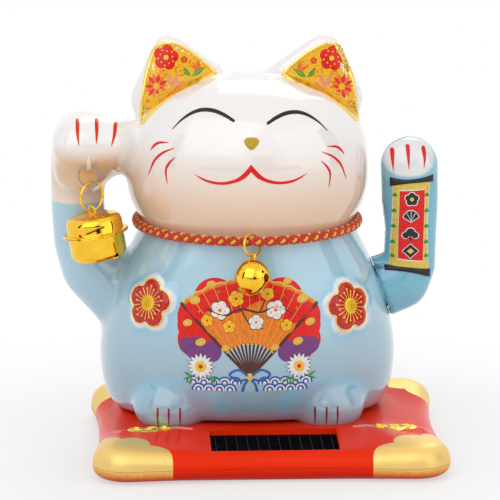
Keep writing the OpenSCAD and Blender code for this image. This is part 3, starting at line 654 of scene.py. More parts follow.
# A turned piece: closed profile of (radius, height) in millimetres round an axis
def addLathe(sheet, profile, center, axis, slot, steps=96, start=None):
    side, other = (start, axis.cross(start)) if start else cross3(axis)
    base = len(sheet["points"])
    for k in range(steps):
        a = 2 * math.pi * k / steps
        out = side * math.cos(a) + other * math.sin(a)
        for r, h in profile:
            sheet["points"].append(center + out * (r * mm) + axis * (h * mm))
    n = len(profile)
    for k in range(steps):
        a, b = base + k * n, base + (k + 1) % steps * n
        for j in range(n):
            i = (j + 1) % n
            if max(profile[j][0], profile[i][0]) >= 1e-6:
                addFace(sheet, [a + j, b + j, b + i, a + i], slot)


# Wire bent along a closed path
def addWire(sheet, path, radius, slot, sides=12):
    count, base = len(path), len(sheet["points"])
    side = (path[1] - path[0]).orthogonal().normalized()
    for k, p in enumerate(path):
        way = (path[(k + 1) % count] - path[k - 1]).normalized()
        side = (side - way * side.dot(way)).normalized()
        other = way.cross(side)
        for j in range(sides):
            a = 2 * math.pi * j / sides
            sheet["points"].append(p + (side * math.cos(a) + other * math.sin(a)) * (radius * mm))
    addTube(sheet, base, count, sides, slot)


# Middle, axis and outer radius of a CAD ring, from the plane its vertices lie in
def ringFrame(nodeName, keep=None):
    points = [v.co.copy() for v in nodes[nodeName].data.vertices]
    points = [p for p in points if keep is None or keep(p)]
    low, high = (Vector(end) for end in extent(points))
    middle = (low + high) / 2
    best = None
    for turn in range(180):
        for lean in range(-30, 31):
            a, b = math.radians(turn), math.radians(lean)
            axis = Vector((math.cos(a) * math.cos(b), math.sin(a) * math.cos(b), math.sin(b)))
            spread = max(abs((p - middle).dot(axis)) for p in points[::max(1, len(points) // 60)])
            if best is None or spread < best[0]:
                best = (spread, axis)
    return middle, best[1], max((p - middle).length for p in points)


# A split ring: wire whose turns lie side by side; one turn makes a plain eye
def splitRing(sheet, nodeName, slot, wire, gap, keep=None, turns=2, crossing=40):
    middle, axis, radius = ringFrame(nodeName, keep)
    side, other = cross3(axis)
    loop = radius - wire * mm
    path, count = [], 72 * turns
    for k in range(count):
        t = k / count
        a = 2 * math.pi * turns * t
        back = max(0, (t * 360 * turns - (360 * turns - crossing)) / crossing)
        shift = (t * turns - turns / 2) / turns * 2 * (1 - back) + back * -1
        path.append(middle + side * loop * math.cos(a) + other * loop * math.sin(a) + axis * (shift * gap * mm))
    addWire(sheet, path, wire, slot)


def tidied(obj):
    shape = bmesh.new()
    shape.from_mesh(obj.data)
    bmesh.ops.remove_doubles(shape, verts=shape.verts, dist=2e-6)
    bmesh.ops.dissolve_degenerate(shape, edges=shape.edges, dist=1e-7)
    bmesh.ops.recalc_face_normals(shape, faces=shape.faces)
    shape.to_mesh(obj.data)
    shape.free()
    return obj


catSkin = {"voxel": 1.12, "rounds": 26, "earDepth": 0.55, "earSoft": 1.3,
           "wrist": (-66, 8, 107, 19), "wristRounds": 45, "swellDepth": 1.6, "feetBelow": 40,
           "swells": [(-54.2, 4, 118.3, 4.9, 4.9, 4.9), (-50.5, 6, 117.8, 4.9, 4.9, 4.9),
                      (-47.5, 8, 117.4, 4.9, 4.9, 4.9), (-68.5, 7, 105, 10, 10.8, 10.5),
                      (-36.2, -9.2, 18.6, 14, 14.4, 11.2), (22.4, -9.2, 18.4, 14, 14.4, 11.2)]}


# Clay that rounds the cheek into the paw and swells the two feet, which stay thin behind for the pendulum's sake
def addSwells(shape):
    tree = treeOf(nodes["ceramic_cat"])
    for x, y, z, wide, deep, high in catSkin["swells"]:
        made = bmesh.ops.create_icosphere(shape, subdivisions=4, radius=mm)["verts"]
        for v in made:
            v.co = Vector((v.co.x * wide + x * mm, v.co.y * deep + y * mm, v.co.z * high + z * mm))
            wall = tree.ray_cast(Vector((v.co.x, -0.2, v.co.z)), inward)[0] if z < catSkin["feetBelow"] else None
            if wall is not None:
                v.co.y = min(v.co.y, wall.y + catSkin["swellDepth"] * mm)


# Glaze settles in the fold at the wrist: hollows come out and nothing goes in
def fillHollows(obj, middle, reach, rounds):
    shape = bmesh.new()
    shape.from_mesh(obj.data)
    near = [v for v in shape.verts if (v.co - middle).length < reach]
    around = [[edge.other_vert(v) for edge in v.link_edges] for v in near]
    for step in range(rounds):
        shape.normal_update()
        moves = []
        for v, others in zip(near, around):
            shift = sum((o.co for o in others), Vector()) / len(others) - v.co
            moves.append(v.co + shift * 0.6 if shift.dot(v.normal) > 0 else v.co.copy())
        for v, co in zip(near, moves):
            v.co = co
    shape.to_mesh(obj.data)
    shape.free()


skin = softCopy("ceramic_cat", "ceramic-cat-glaze", catSkin["voxel"], catSkin["rounds"], addSwells)
fillHollows(skin, Vector(catSkin["wrist"][:3]) * mm, catSkin["wrist"][3] * mm, catSkin["wristRounds"])
skinTree = treeOf(skin)
print("cat skin:", len(skin.data.polygons), "faces")

ear = {
    "top": [(4.85, 14.2), (0.4, 13.6), (-4.6, 10.9), (-9.4, 7.3), (-14, 3.2)],
    "low": [(-14, 3.2), (-7.7, 1.1), (0.25, -2.1), (7.35, -7.2), (13.95, -13.8)],
    "side": [(13.95, -13.8), (12.7, -2.5), (10.85, 6.1), (8.35, 12), (4.85, 14.2)],
    "border": 0.55, "half": (16, 17), "behind": 12, "edge": 0.2,
}
earOutline = outlineOf(ear["top"], ear["low"], ear["side"])
earPairs = (("leftEar", -1), ("rightEar", 1))


# The ears' inlays lie in shallow recesses
def sinkEars():
    for name, side in earPairs:
        anchor = meet(name, skinTree)
        ring = [Vector((side * p.x, p.y)) for p in earOutline]
        for v in skin.data.vertices:
            p = Vector(((v.co.x - anchor.x) / mm, (v.co.z - anchor.z) / mm))
            if abs(p.x) > ear["half"][0] or abs(p.y) > ear["half"][1] or v.normal.y > 0:
                continue
            if v.co.y > anchor.y + ear["behind"] * mm:
                continue
            depth = edgeDistance(p, ring) * (1 if insideRing(p, ring) else -1)
            t = max(0, min(1, (depth + ear["edge"]) / catSkin["earSoft"]))
            v.co.y += catSkin["earDepth"] * t * t * (3 - 2 * t) * mm


sinkEars()
skinTree = treeOf(skin)

blossom = {"reach": 9.0, "rim": 11.0, "cushion": 0.5, "petalDome": 0.45, "line": 0.26, "heart": 2.9,
           "turn": {"leftBlossom": 86, "rightBlossom": 97},
           "near": (17, 8), "edge": 0.8, "halo": 0.75, "haloWide": 2.4}


# Frame of a relief on the skin: into the surface at the named point, level to the right
def faceOn(name, tree, spread=5):
    anchor = meet(name, tree)
    look = placer(tree, anchor, rightward, upward, inward)
    total = Vector()
    for u in (-spread, 0, spread):
        for v in (-spread, 0, spread):
            total += look(u, v)[1]
    into = -total.normalized()
    right = into.cross(upward).normalized()
    return anchor, right, right.cross(into), into


blossomFrames = {name: faceOn(name, skinTree) for name in ("leftBlossom", "rightBlossom")}
feet = {"x": 27.4, "front": (14.6, 10.4), "height": 5.6, "halo": (1.16, 1.42), "inner": (0.75, 0.9), "outer": 0.7,
        "tinted": (20, 82), "behind": -5}


def tintSkin():
    mesh = skin.data
    relief = mesh.attributes.new("relief", "FLOAT", "POINT")
    halo = mesh.attributes.new("halo", "FLOAT", "POINT")
    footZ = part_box("ceramic_cat")[0].z
    rims = {name: lobes(blossom["rim"], turn=blossom["turn"][name], steps=40) for name in blossomFrames}
    for k, v in enumerate(mesh.vertices):
        if v.co.y > feet["tinted"][0] * mm or v.co.z > feet["tinted"][1] * mm:
            continue
        pale = ring = 0
        for name, (anchor, right, up, into) in blossomFrames.items():
            off = v.co - anchor
            p = Vector((off.dot(right), off.dot(up))) / mm
            if p.length < blossom["near"][0] and abs(off.dot(into)) < blossom["near"][1] * mm:
                d = edgeDistance(p, rims[name]) * (-1 if insideRing(p, rims[name]) else 1)
                pale = max(pale, min(1, max(0, 0.5 - d / blossom["edge"])))
                ring = max(ring, blossom["halo"] * math.exp(-((max(0, d) / blossom["haloWide"]) ** 2)))
        for side in (-1, 1):
            across = (v.co.x - catMiddle) / mm - side * feet["x"]
            rise = (v.co.z - footZ) / mm - feet["height"]
            far = math.hypot(across / feet["front"][0], rise / feet["front"][1])
            if v.co.y < feet["behind"] * mm:
                (crest, out), (fade, share) = feet["halo"], feet["inner"]
                if far < crest:
                    ring = max(ring, max(0, 1 - (crest - far) / fade) ** 1.5 * share)
                else:
                    ring = max(ring, max(0, 1 - (far - crest) / (out - crest)) * feet["outer"])
        relief.data[k].value = pale
        halo.data[k].value = ring


tintSkin()
setFinish(skin, "glaze")
settle(skin, "body", "cat_glaze", "ceramic_cat")

# Lug that the split ring hangs in, too thin for the skin's remesh
lug = {"wide": 0.85, "flat": 0.6, "hole": 0.95, "round": 1.62, "rise": 4.2, "edge": 0.82, "lean": 0.8, "sunk": 0.5,
       "steps": 48}


def makeLug():
    middle = ringFrame("paw_ring")[0]
    top = Vector((middle.x, middle.y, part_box("paw_ring")[1].z)) - upward * lug["sunk"] * mm
    sheet, turns = newSheet(), [2 * math.pi * k / lug["steps"] for k in range(lug["steps"])]
    shares = (-1, -lug["flat"], lug["flat"], 1)
    for share in shares:
        edge = lug["edge"] if abs(share) == 1 else 1
        for c, s in ((math.cos(a), math.sin(a)) for a in turns):
            rise, lean = lug["rise"] if s > 0 else lug["round"], lug["lean"] * s if s > 0.3 else 0
            out = Vector((share * lug["wide"], lug["round"] * c * edge + lean, rise * s * edge))
            sheet["points"].append(top + out * mm)
    for share in shares[::-1]:
        for a in turns:
            out = Vector((share * lug["wide"], lug["hole"] * math.cos(a), lug["hole"] * math.sin(a)))
            sheet["points"].append(top + out * mm)
    addTube(sheet, 0, 2 * len(shares), lug["steps"], 0)
    tidied(pieceFrom("paw-lug", sheet, ["glaze"], "body", "cat_glaze", sharp=None))


makeLug()
print("cat body done")


face = {
    "eye": [(-11, 0.3), (-8.1, 1.9), (-4.8, 3.1), (-1.6, 3.45), (1.6, 3.0), (5, 1.5), (8.3, -0.9), (11, -3.7)],
    "eyeHalves": [0.52, 0.62, 0.66, 0.64, 0.56, 0.44, 0.28, 0.09],
    "nose": [(-2.75, 1.1), (-1.5, 2.1), (1.5, 2.1), (2.75, 1.1), (2.0, -0.7), (0, -2.15), (-2.0, -0.7)],
    "smileTop": [(0, 3.75), (2.9, 0.45), (5.8, -1.6), (10.5, -2.75), (15.6, -2.2), (20.7, -0.2)],
    "smileLow": [(20.7, -0.2), (18, -2.1), (14.2, -3.5), (9.5, -3.75), (5.3, -2.8), (2.1, -1.2), (0, 0.95)],
    "whiskers": [[(3.8, 3.85), (2.6, 5.7), (0.7, 7.1), (-2.7, 7.7)],
                 [(4.6, -5.1), (2.6, 0.2), (-0.3, 3.6), (-4.6, 6.0)],
                 [(-2.1, -7.2), (-1.6, -2.5), (-2.8, 0.4), (-4.9, 2.7)]],
    "whiskerHalves": [0.08, 0.33, 0.44, 0.37, 0.11],
}


def onSkin(name, tree=None):
    tree = tree or skinTree
    anchor = meet(name, tree)
    return placer(tree, anchor, rightward, upward, inward)


def note(name, *objects):
    shown[name] = objects


def makeFace():
    def finished(name, sheet, finish):
        note(name, pieceFrom(name, sheet, [finish], "body", "cat_glaze"))

    for name, side in (("leftEye", -1), ("rightEye", 1)):
        sheet = newSheet(onSkin(name))
        addStroke(sheet, mirrored(face["eye"], side), face["eyeHalves"], 0)
        finished(name, sheet, "eyeBlack")
    sheet = newSheet(onSkin("nose"))
    addPatch(sheet, outlineOf(face["nose"] + face["nose"][:1], per=5), 0, 0.05, 0.5, 1.8, 0.45)
    finished("nose", sheet, "noseMustard")
    sheet = newSheet(onSkin("mouth"))
    other = [mirrored(list(reversed(face[key]))) for key in ("smileLow", "smileTop")]
    addPatch(sheet, outlineOf(face["smileTop"], face["smileLow"], *other), 0, 0.05, 0.12, 0.5, 0.5)
    finished("mouth", sheet, "mouthRed")
    for name, side in (("leftWhiskers", -1), ("rightWhiskers", 1)):
        sheet = newSheet(onSkin(name))
        for line in face["whiskers"]:
            addStroke(sheet, mirrored(line, side), face["whiskerHalves"], 0)
        finished(name, sheet, "whiskerRed")


makeFace()


# Small flowers and sprays that the inlays and the belly picture share
def addPlum(sheet, at, reach, slots, lift, turn=90):
    petal, heart = slots
    addPatch(sheet, lobes(reach, turn=turn, steps=8, center=at), petal, lift, 0.04, 0.4, 0.6)
    for k in range(10):
        tip = Vector(at) + heading(turn + 36 * k) * (reach * (0.62 if k % 2 else 0.5))
        addPatch(sheet, ringOf(reach * 0.07, 8, tip), heart, lift + 0.08, 0, step=0.3)
    addPatch(sheet, ringOf(reach * 0.2, 12, at), heart, lift + 0.08, 0.03, 0.2, 0.3)


def addChrysanthemum(sheet, at, reach, slots, lift, count=14):
    first, second, heart = slots
    for k in range(count):
        turn = 360 * k / count
        root = Vector(at) + heading(turn) * reach * 0.2
        addPatch(sheet, leaf(root, reach * 0.8, reach * 0.34, turn), first if k % 2 else second, lift, step=0.5)
    addPatch(sheet, ringOf(reach * 0.15, 10, at), heart, lift + 0.02, 0.03, 0.2, 0.3)


def addSpray(sheet, at, length, slot, lift, turns=(60, 120), width=0.24, vein=None):
    for turn in turns:
        addPatch(sheet, leaf(at, length, length * width, turn), slot, lift, 0.03, 0.3, 0.5)
        if vein is not None:
            line = [Vector(at) + heading(turn) * length * s for s in (0.12, 0.5, 0.86)]
            addStroke(sheet, line, [0.03, 0.09, 0.03], vein, lift + 0.04, 0.01, 3)


def makeEar(name, side):
    sheet = newSheet(onSkin(name))

    def m(x, y):
        return Vector((side * x, y))

    outline = [m(p.x, p.y) for p in earOutline]
    addPatch(sheet, outline, 1, 0.02, step=1.1)
    yellow, red, orange, green, pink, light = 1, 2, 3, 4, 5, 6
    addPlum(sheet, m(4.3, 8.9), 4.7, (red, light), 0.06, 80)
    for x, y, reach in ((-0.9, 4.1, 2.0), (-5.6, 6.9, 1.5), (5.4, 3.1, 1.4)):
        addPlum(sheet, m(x, y), reach + 0.22, (orange, red), 0.045)
        addPlum(sheet, m(x, y), reach, (light, orange), 0.06)
    addPlum(sheet, m(-2.4, 8.1), 1.3, (red, light), 0.06)
    addChrysanthemum(sheet, m(8.0, -1.5), 4.7, (red, orange, yellow), 0.05)
    addChrysanthemum(sheet, m(11.3, -7.9), 1.9, (orange, red, yellow), 0.05, 10)
    addSpray(sheet, m(-5.0, 1.9), 6.3, green, 0.07, (40, 146) if side > 0 else (140, 34), 0.28, light)
    addSpray(sheet, m(-8.2, 3.4), 4.9, orange, 0.055, (42, 80) if side > 0 else (138, 100), 0.3, red)
    addSpray(sheet, m(2.0, -2.2), 5.9, pink, 0.07, (70, 112, 150) if side > 0 else (110, 68, 30), 0.28, light)
    addSpray(sheet, m(12.2, -10.6), 2.8, green, 0.07, (70, 115), 0.28, light)
    addStroke(sheet, outline[::2], [ear["border"]] * 2, 0, 0.06, 0.3, 2, closed=True)
    finishes = ["goldLine", "inlayYellow", "inlayRed", "inlayOrange", "inlayGreen", "inlayPink", "paintYellow"]
    note(name, pieceFrom(name + "-inlay", sheet, finishes, "body", "foil"))


for earName, earSide in earPairs:
    makeEar(earName, earSide)
print("face and ears painted")


def newTree(name, inputs):
    tree = bpy.data.node_groups.new(name, "GeometryNodeTree")
    tree.interface.new_socket("Geometry", in_out="INPUT", socket_type="NodeSocketGeometry")
    tree.interface.new_socket("Geometry", in_out="OUTPUT", socket_type="NodeSocketGeometry")
    for key, value in inputs.items():
        kind = {int: "NodeSocketInt", float: "NodeSocketFloat"}.get(type(value), "NodeSocketMaterial")
        socket = tree.interface.new_socket(key, in_out="INPUT", socket_type=kind)
        if kind != "NodeSocketMaterial":
            socket.default_value = value
    return tree, tree.nodes.new("NodeGroupInput").outputs, tree.nodes.new("NodeGroupOutput").inputs


# Runs a tree on an empty mesh with the given inputs and keeps the result as a plain mesh
def grow(name, tree, inputs):
    obj = addObject(name + " seed", bpy.data.meshes.new(name))
    modifier = obj.modifiers.new("grow", "NODES")
    modifier.node_group = tree
    for item in tree.interface.items_tree:
        if item.in_out == "INPUT" and item.name in inputs:
            modifier[item.identifier] = inputs[item.name]
    return evaluated(obj, name)


# Ends a tree in a real mesh of the given material
def dressed(tree, given, geometry):
    solid = addNode(tree, "GeometryNodeRealizeInstances", {0: geometry.outputs[0]})
    return addNode(tree, "GeometryNodeSetMaterial", {0: solid.outputs[0], "Material": given["Material"]})


# Round braid: four strands wound one way and four the other, each passing over and under
def braidTree():
    inputs = {"Ring Radius": 41.2 * mm, "Braid Radius": 1.0 * mm, "Weave": 0.25 * mm, "Strand Radius": 0.6 * mm,
              "Turns": 29.0, "Way": 1.0, "Samples": 900, "Material": None, "Second Material": None}
    tree, given, result = newTree("round braid", inputs)
    sums = partial(maths, tree)
    circle = addNode(tree, "GeometryNodeCurvePrimitiveCircle", {"Resolution": given["Samples"], "Radius": 1.0})
    copies = addNode(tree, "GeometryNodeDuplicateElements", {0: circle.outputs[0], "Amount": 4}, domain="SPLINE")
    share = addNode(tree, "GeometryNodeSplineParameter").outputs["Factor"]
    around = sums("MULTIPLY", share, 2 * math.pi)
    wind = sums("MULTIPLY", around, given["Turns"])
    quarter = sums("MULTIPLY", copies.outputs[1], math.pi / 2)
    phase = sums("ADD", sums("MULTIPLY", wind, given["Way"]), quarter)
    swell = sums("MULTIPLY", sums("COSINE", sums("MULTIPLY", wind, 4.0)),
                  sums("MULTIPLY", given["Weave"], given["Way"]))
    reach = sums("ADD", given["Braid Radius"], swell)
    out = sums("ADD", given["Ring Radius"], sums("MULTIPLY", reach, sums("COSINE", phase)))
    spot = addNode(tree, "ShaderNodeCombineXYZ", {
        0: sums("MULTIPLY", out, sums("COSINE", around)),
        1: sums("MULTIPLY", out, sums("SINE", around)),
        2: sums("MULTIPLY", reach, sums("SINE", phase))})
    index = addNode(tree, "GeometryNodeCaptureAttribute", {0: copies.outputs[0]}, domain="CURVE")
    index.capture_items.new("INT", "strand")
    tree.links.new(copies.outputs[1], index.inputs[1])
    laid = addNode(tree, "GeometryNodeSetPosition", {0: index.outputs[0], "Position": spot.outputs[0]})
    profile = addNode(tree, "GeometryNodeCurvePrimitiveCircle", {"Resolution": 8, "Radius": given["Strand Radius"]})
    tubes = addNode(tree, "GeometryNodeCurveToMesh", {0: laid.outputs[0], 1: profile.outputs[0]})
    first = dressed(tree, given, tubes)
    odd = sums("GREATER_THAN", sums("MODULO", index.outputs[1], 2.0), 0.5)
    second = addNode(tree, "GeometryNodeSetMaterial", {0: first.outputs[0], "Selection": odd,
                                                       "Material": given["Second Material"]})
    tree.links.new(second.outputs[0], result[0])
    return tree


# Sunflower of beads on a low dome
def beadTree():
    inputs = {"Beads": 40, "Reach": 2.6 * mm, "Bead Radius": 0.3 * mm, "Dome": 0.5 * mm, "Material": None}
    tree, given, result = newTree("beaded heart", inputs)
    sums = partial(maths, tree)
    points = addNode(tree, "GeometryNodePoints", {"Count": given["Beads"]})
    index = addNode(tree, "GeometryNodeInputIndex").outputs[0]
    share = sums("SQRT", sums("DIVIDE", sums("ADD", index, 0.5), given["Beads"]))
    far = sums("MULTIPLY", share, given["Reach"])
    turn = sums("MULTIPLY", index, math.radians(137.508))
    drop = sums("MULTIPLY", sums("MULTIPLY", share, share), given["Dome"])
    spot = addNode(tree, "ShaderNodeCombineXYZ", {
        0: sums("MULTIPLY", far, sums("COSINE", turn)),
        1: sums("MULTIPLY", far, sums("SINE", turn)),
        2: sums("SUBTRACT", given["Dome"], drop)})
    laid = addNode(tree, "GeometryNodeSetPosition", {0: points.outputs[0], "Position": spot.outputs[0]})
    ball = addNode(tree, "GeometryNodeMeshIcoSphere", {"Radius": given["Bead Radius"], "Subdivisions": 2})
    beads = addNode(tree, "GeometryNodeInstanceOnPoints", {0: laid.outputs[0], "Instance": ball.outputs[0]})
    tree.links.new(dressed(tree, given, beads).outputs[0], result[0])
    return tree


# Adds an object's faces to a sheet, each in the slot its material's name is given, and takes the object away
def addFaces(sheet, obj, slots):
    base, found = len(sheet["points"]), [slots[m.name] for m in obj.data.materials if m] or [0]
    sheet["points"] += [v.co.copy() for v in obj.data.vertices]
    for p in obj.data.polygons:
        addFace(sheet, [base + k for k in p.vertices], found[min(p.material_index, len(found) - 1)])
    bpy.data.objects.remove(obj)


beads = beadTree()


def makeBlossom(name):
    anchor, right, up, into = blossomFrames[name]
    b, turn, sheet = blossom, blossom["turn"][name], newSheet(placer(skinTree, anchor, right, up, into, 0.02))
    addPatch(sheet, lobes(b["rim"], turn=turn), 3, 0.02, b["cushion"], 1.6, 0.9, 0.3)
    lift, petalTop, hub = b["cushion"], b["cushion"] + b["petalDome"], b["heart"] - 0.2
    addPatch(sheet, lobes(b["reach"], turn=turn), 0, lift, b["petalDome"], 2.6, 0.8, 0.2)
    edge = lobes(b["reach"], turn=turn, steps=7)
    addStroke(sheet, edge, [b["line"]] * 2, 1, lift + 0.05, 0.28, 2, closed=True)
    for k in range(5):
        cleft = heading(turn + 36 + 72 * k)
        line = [cleft * r for r in (hub, 4.4, 6.0)]
        addStroke(sheet, line, [0.12, 0.16, 0.22], 1, petalTop - 0.08, 0.16, 3)
        for lean, far in ((-17, 5.4), (0, 6.3), (17, 5.4)):
            tip = heading(turn + 72 * k + lean)
            addStroke(sheet, [tip * hub, tip * far], [0.15, 0.13], 1, petalTop, 0.1, 3)
            addPatch(sheet, ringOf(0.42, 10, tip * far), 2, petalTop + 0.05, 0.16, 0.3, 0.4)
    addPatch(sheet, ringOf(b["heart"], 26), 2, petalTop, 0.35, 1.5, 0.5)
    point, normal = sheet["place"](0, 0)
    heart = grow(name + " beads", beads, {"Reach": (b["heart"] - 0.35) * mm, "Material": materials["paintYellow"]})
    frameOf = Matrix((right, up, -into)).transposed().to_4x4()
    frameOf.translation = point + normal * ((petalTop + 0.1) * mm)
    heart.data.transform(frameOf)
    addFaces(sheet, heart, {"paintYellow": 2})
    note(name, pieceFrom(name, sheet, ["petalRed", "goldLine", "paintYellow", "paleGlaze"], "body", "foil"))


paleLook = {**glaze, "color": glazeColors["pale"], "shade": glazeColors["pale"]}
materials["paleGlaze"] = grained("pale relief glaze", paleLook)
for flower in blossomFrames:
    makeBlossom(flower)


claws = {
    "pawClaws": {"lines": [[(-6.9, 3.7), (-6.9, 0), (-6.5, -4.0)], [(0.1, 3.8), (0.1, 0), (-0.1, -3.5)],
                           [(7.0, 2.5), (6.5, -1), (5.4, -4.6)]], "halves": [0.66, 0.62, 0.5, 0.32, 0.06],
                 "shift": (0.22, -0.05), "dome": 0.1},
    "armClaws": {"lines": [[(-5.8, 2.8), (-5.75, -1), (-5.5, -4.9)], [(-0.2, 4.3), (0, 0), (0.2, -4.0)],
                           [(5.7, 3.6), (6.1, 0), (5.8, -3.5)]], "halves": [0.8, 0.72, 0.5, 0.28, 0.05],
                 "shift": None, "dome": 0.1},
}
footClaws = {"at": (-30.5, 27.6), "height": 16.2, "halves": [0.36, 0.42, 0.36, 0.26, 0.08],
             "lines": [[(-4, 3.6), (-4.1, 0), (-3.8, -3.6)], [(0, 3.6), (0, 0), (0.1, -3.8)],
                       [(4.2, 3.6), (4.2, 0), (4.2, -3.7)]]}


def makeClaws(name, tree, body, slot):
    look, sheet = claws[name], newSheet(onSkin(name, tree))
    for line in look["lines"]:
        if look["shift"]:
            under = [(x + look["shift"][0], y + look["shift"][1]) for x, y in line]
            addStroke(sheet, under, look["halves"], 1, 0.03, 0.05)
        addStroke(sheet, line, look["halves"], 0, 0.06, look["dome"])
    note(name, pieceFrom(name, sheet, ["clawRed", "clawOrange"], body, slot))


def makeFootClaws():
    sheet = newSheet()
    for x in footClaws["at"]:
        anchor = Vector((catMiddle + x * mm, -0.02, footClaws["height"] * mm))
        sheet["place"] = placer(skinTree, anchor, rightward, upward, inward)
        for line in footClaws["lines"]:
            addStroke(sheet, mirrored(line, -1 if x > 0 else 1), footClaws["halves"], 0, 0.04, 0.1)
    pieceFrom("foot-claws", sheet, ["footRed"], "body", "cat_glaze")


makeClaws("pawClaws", skinTree, "body", "cat_glaze")
makeFootClaws()
print("claws and blossoms done")


picture = {"pivot": (0.3, -15.5), "reach": 36.0, "inner": 12.5, "from": 47, "to": 133, "folds": 12}


def polar(at, r, degrees):
    a = math.radians(degrees)
    return Vector((at[0] + r * math.cos(a), at[1] + r * math.sin(a)))


def makeBelly():
    sheet, p = newSheet(onSkin("belly")), picture
    red, orange, gold, yellow, white, brown, blue, purple, ink, green = range(10)
    # clouds behind the fan
    for discs, middle, slot, lift in (
            ([(-17, 6, 9), (-19.5, -2, 6.5), (-12, 13, 8), (-21, 3, 5)], (-15, 5), red, 0.03),
            ([(17.5, 6, 9), (20, -2, 6.5), (12, 13, 8), (21.5, 3, 5)], (15.5, 5), red, 0.03),
            ([(-19, -5, 4.4), (-14, -6, 4), (-22.5, -4, 3)], (-18, -5), purple, 0.035),
            ([(19.5, -5, 4.4), (14.5, -6, 4), (23, -4, 3)], (18.5, -5), purple, 0.035)):
        addPatch(sheet, cloud(discs, middle), slot, lift)

    def sweep(count, first, last, reach):
        return [polar(p["pivot"], reach(k), p[first] + (p[last] - p[first]) * k / count) for k in range(count + 1)]

    # fan leaf, scalloped where its folds end
    rim = sweep(p["folds"] * 4, "to", "from", lambda k: p["reach"] + 0.5 * abs(math.sin(math.pi * k / 4)))
    inner = sweep(24, "from", "to", lambda k: p["inner"])
    addPatch(sheet, rim + inner, orange, 0.06)
    band = sweep(40, "to", "from", lambda k: p["reach"] - 0.9)
    low = sweep(40, "from", "to", lambda k: p["reach"] - 9.5 - 2.2 * math.sin(math.pi * k / 10))
    addPatch(sheet, band + low, red, 0.08)
    addStroke(sheet, rim[::2], [0.28, 0.28], gold, 0.09, 0.05, 3)
    addStroke(sheet, inner[::3], [0.22, 0.22], gold, 0.09, 0.05, 3)
    for a in (p["from"], p["to"]):
        addStroke(sheet, [polar(p["pivot"], r, a) for r in (2, p["reach"])], [0.5, 0.7], brown, 0.1, 0.08, 4)
    for k in range(1, p["folds"]):
        a = p["from"] + (p["to"] - p["from"]) * k / p["folds"]
        addStroke(sheet, [polar(p["pivot"], r, a) for r in (2, p["inner"])], [0.3, 0.42], brown, 0.09, 0.06, 4)
        addStroke(sheet, [polar(p["pivot"], r, a) for r in (p["inner"] + 0.3, p["reach"] - 0.6)], [0.06, 0.09],
                  gold, 0.1, 0.02, 6)
    # plum branch and flowers on the leaf
    addStroke(sheet, [(-15, 9.5), (-9, 7.5), (-3, 9.8), (4, 8.6), (10, 10.5), (16, 8)],
              [0.45, 0.5, 0.38, 0.3, 0.12], brown, 0.12, 0.08)
    addStroke(sheet, [(-3, 9.8), (0.5, 4.2), (5.5, 2.5)], [0.3, 0.22, 0.08], brown, 0.12, 0.06)
    addStroke(sheet, [(4, 8.6), (6.5, 13.5), (11, 15)], [0.28, 0.2, 0.08], brown, 0.12, 0.06)
    for x, y, r, petal in ((-10.5, 9.3, 3.5, white), (9.8, 9.4, 3.6, white), (-4.6, 13.6, 2.9, yellow),
                           (2.6, 5.0, 2.8, white), (6.9, 15.2, 2.4, yellow), (-7.2, 3.4, 2.3, yellow),
                           (13.8, 3.6, 2.2, yellow), (-15.2, 5.4, 2.2, yellow)):
        addPatch(sheet, lobes(r + 0.28, turn=70 + 7 * x, center=(x, y), steps=8), ink if petal == white else red,
                 0.13, step=0.7)
        addPlum(sheet, (x, y), r, (petal, orange if petal == white else red), 0.15, 70 + 7 * x)
    # gold discs, each a plain ring
    for x, y, r in ((-19.5, 12.5, 1.9), (19.8, 13, 2.1), (-22.3, 4.2, 1.7), (22.6, 4.4, 1.8), (-17.6, -2.6, 1.9),
                    (18, -2.4, 1.9), (14.2, 19.6, 1.7), (-13.6, 18.6, 1.7), (-8.6, -4.6, 1.5), (9.6, -4.4, 1.5)):
        addPatch(sheet, ringOf(r, 20, (x, y), 0.72, 0.3), gold, 0.12, 0.1, 0.5, 0.6)
        addStroke(sheet, ringOf(r * 0.62, 10, (x, y), 0.72, 0.3), [0.1, 0.1], orange, 0.2, 0.04, 2, closed=True)
    # blue cord and tassel at the pivot
    addPatch(sheet, ringOf(1.5, 16, p["pivot"]), gold, 0.16, 0.2, 0.8, 0.5)
    for side in (-1, 1):
        for line, halves in (([(0, -15.5), (4, -12.6), (7.4, -14.4), (4, -16.6), (0, -15.7)], [0.34, 0.4, 0.4, 0.34]),
                             ([(0, -15.6), (2, -18.2), (2.6, -20.4)], [0.34, 0.4, 0.5])):
            addStroke(sheet, [(p["pivot"][0] + side * x, y) for x, y in line], halves, blue, 0.18, 0.14)
    # waves along the foot of the picture: rows of nested arcs
    for row, (y, count) in enumerate(((-17.6, 5), (-20.2, 4))):
        for k in range(count):
            for side in (-1, 1):
                x = 0.3 + side * (5.4 + row * 1.9 + 3.8 * k)
                if abs(x) > 22:
                    continue
                for r, slot in ((2.5, blue), (1.85, white), (1.25, blue), (0.6, white)):
                    half = [Vector((x + r * math.cos(math.pi * j / 10), y + r * math.sin(math.pi * j / 10)))
                            for j in range(11)]
                    addPatch(sheet, half + [Vector((x - r, y - 0.5)), Vector((x + r, y - 0.5))], slot,
                             0.08 + 0.02 * row + 0.012 * (2.5 - r), step=0.8)
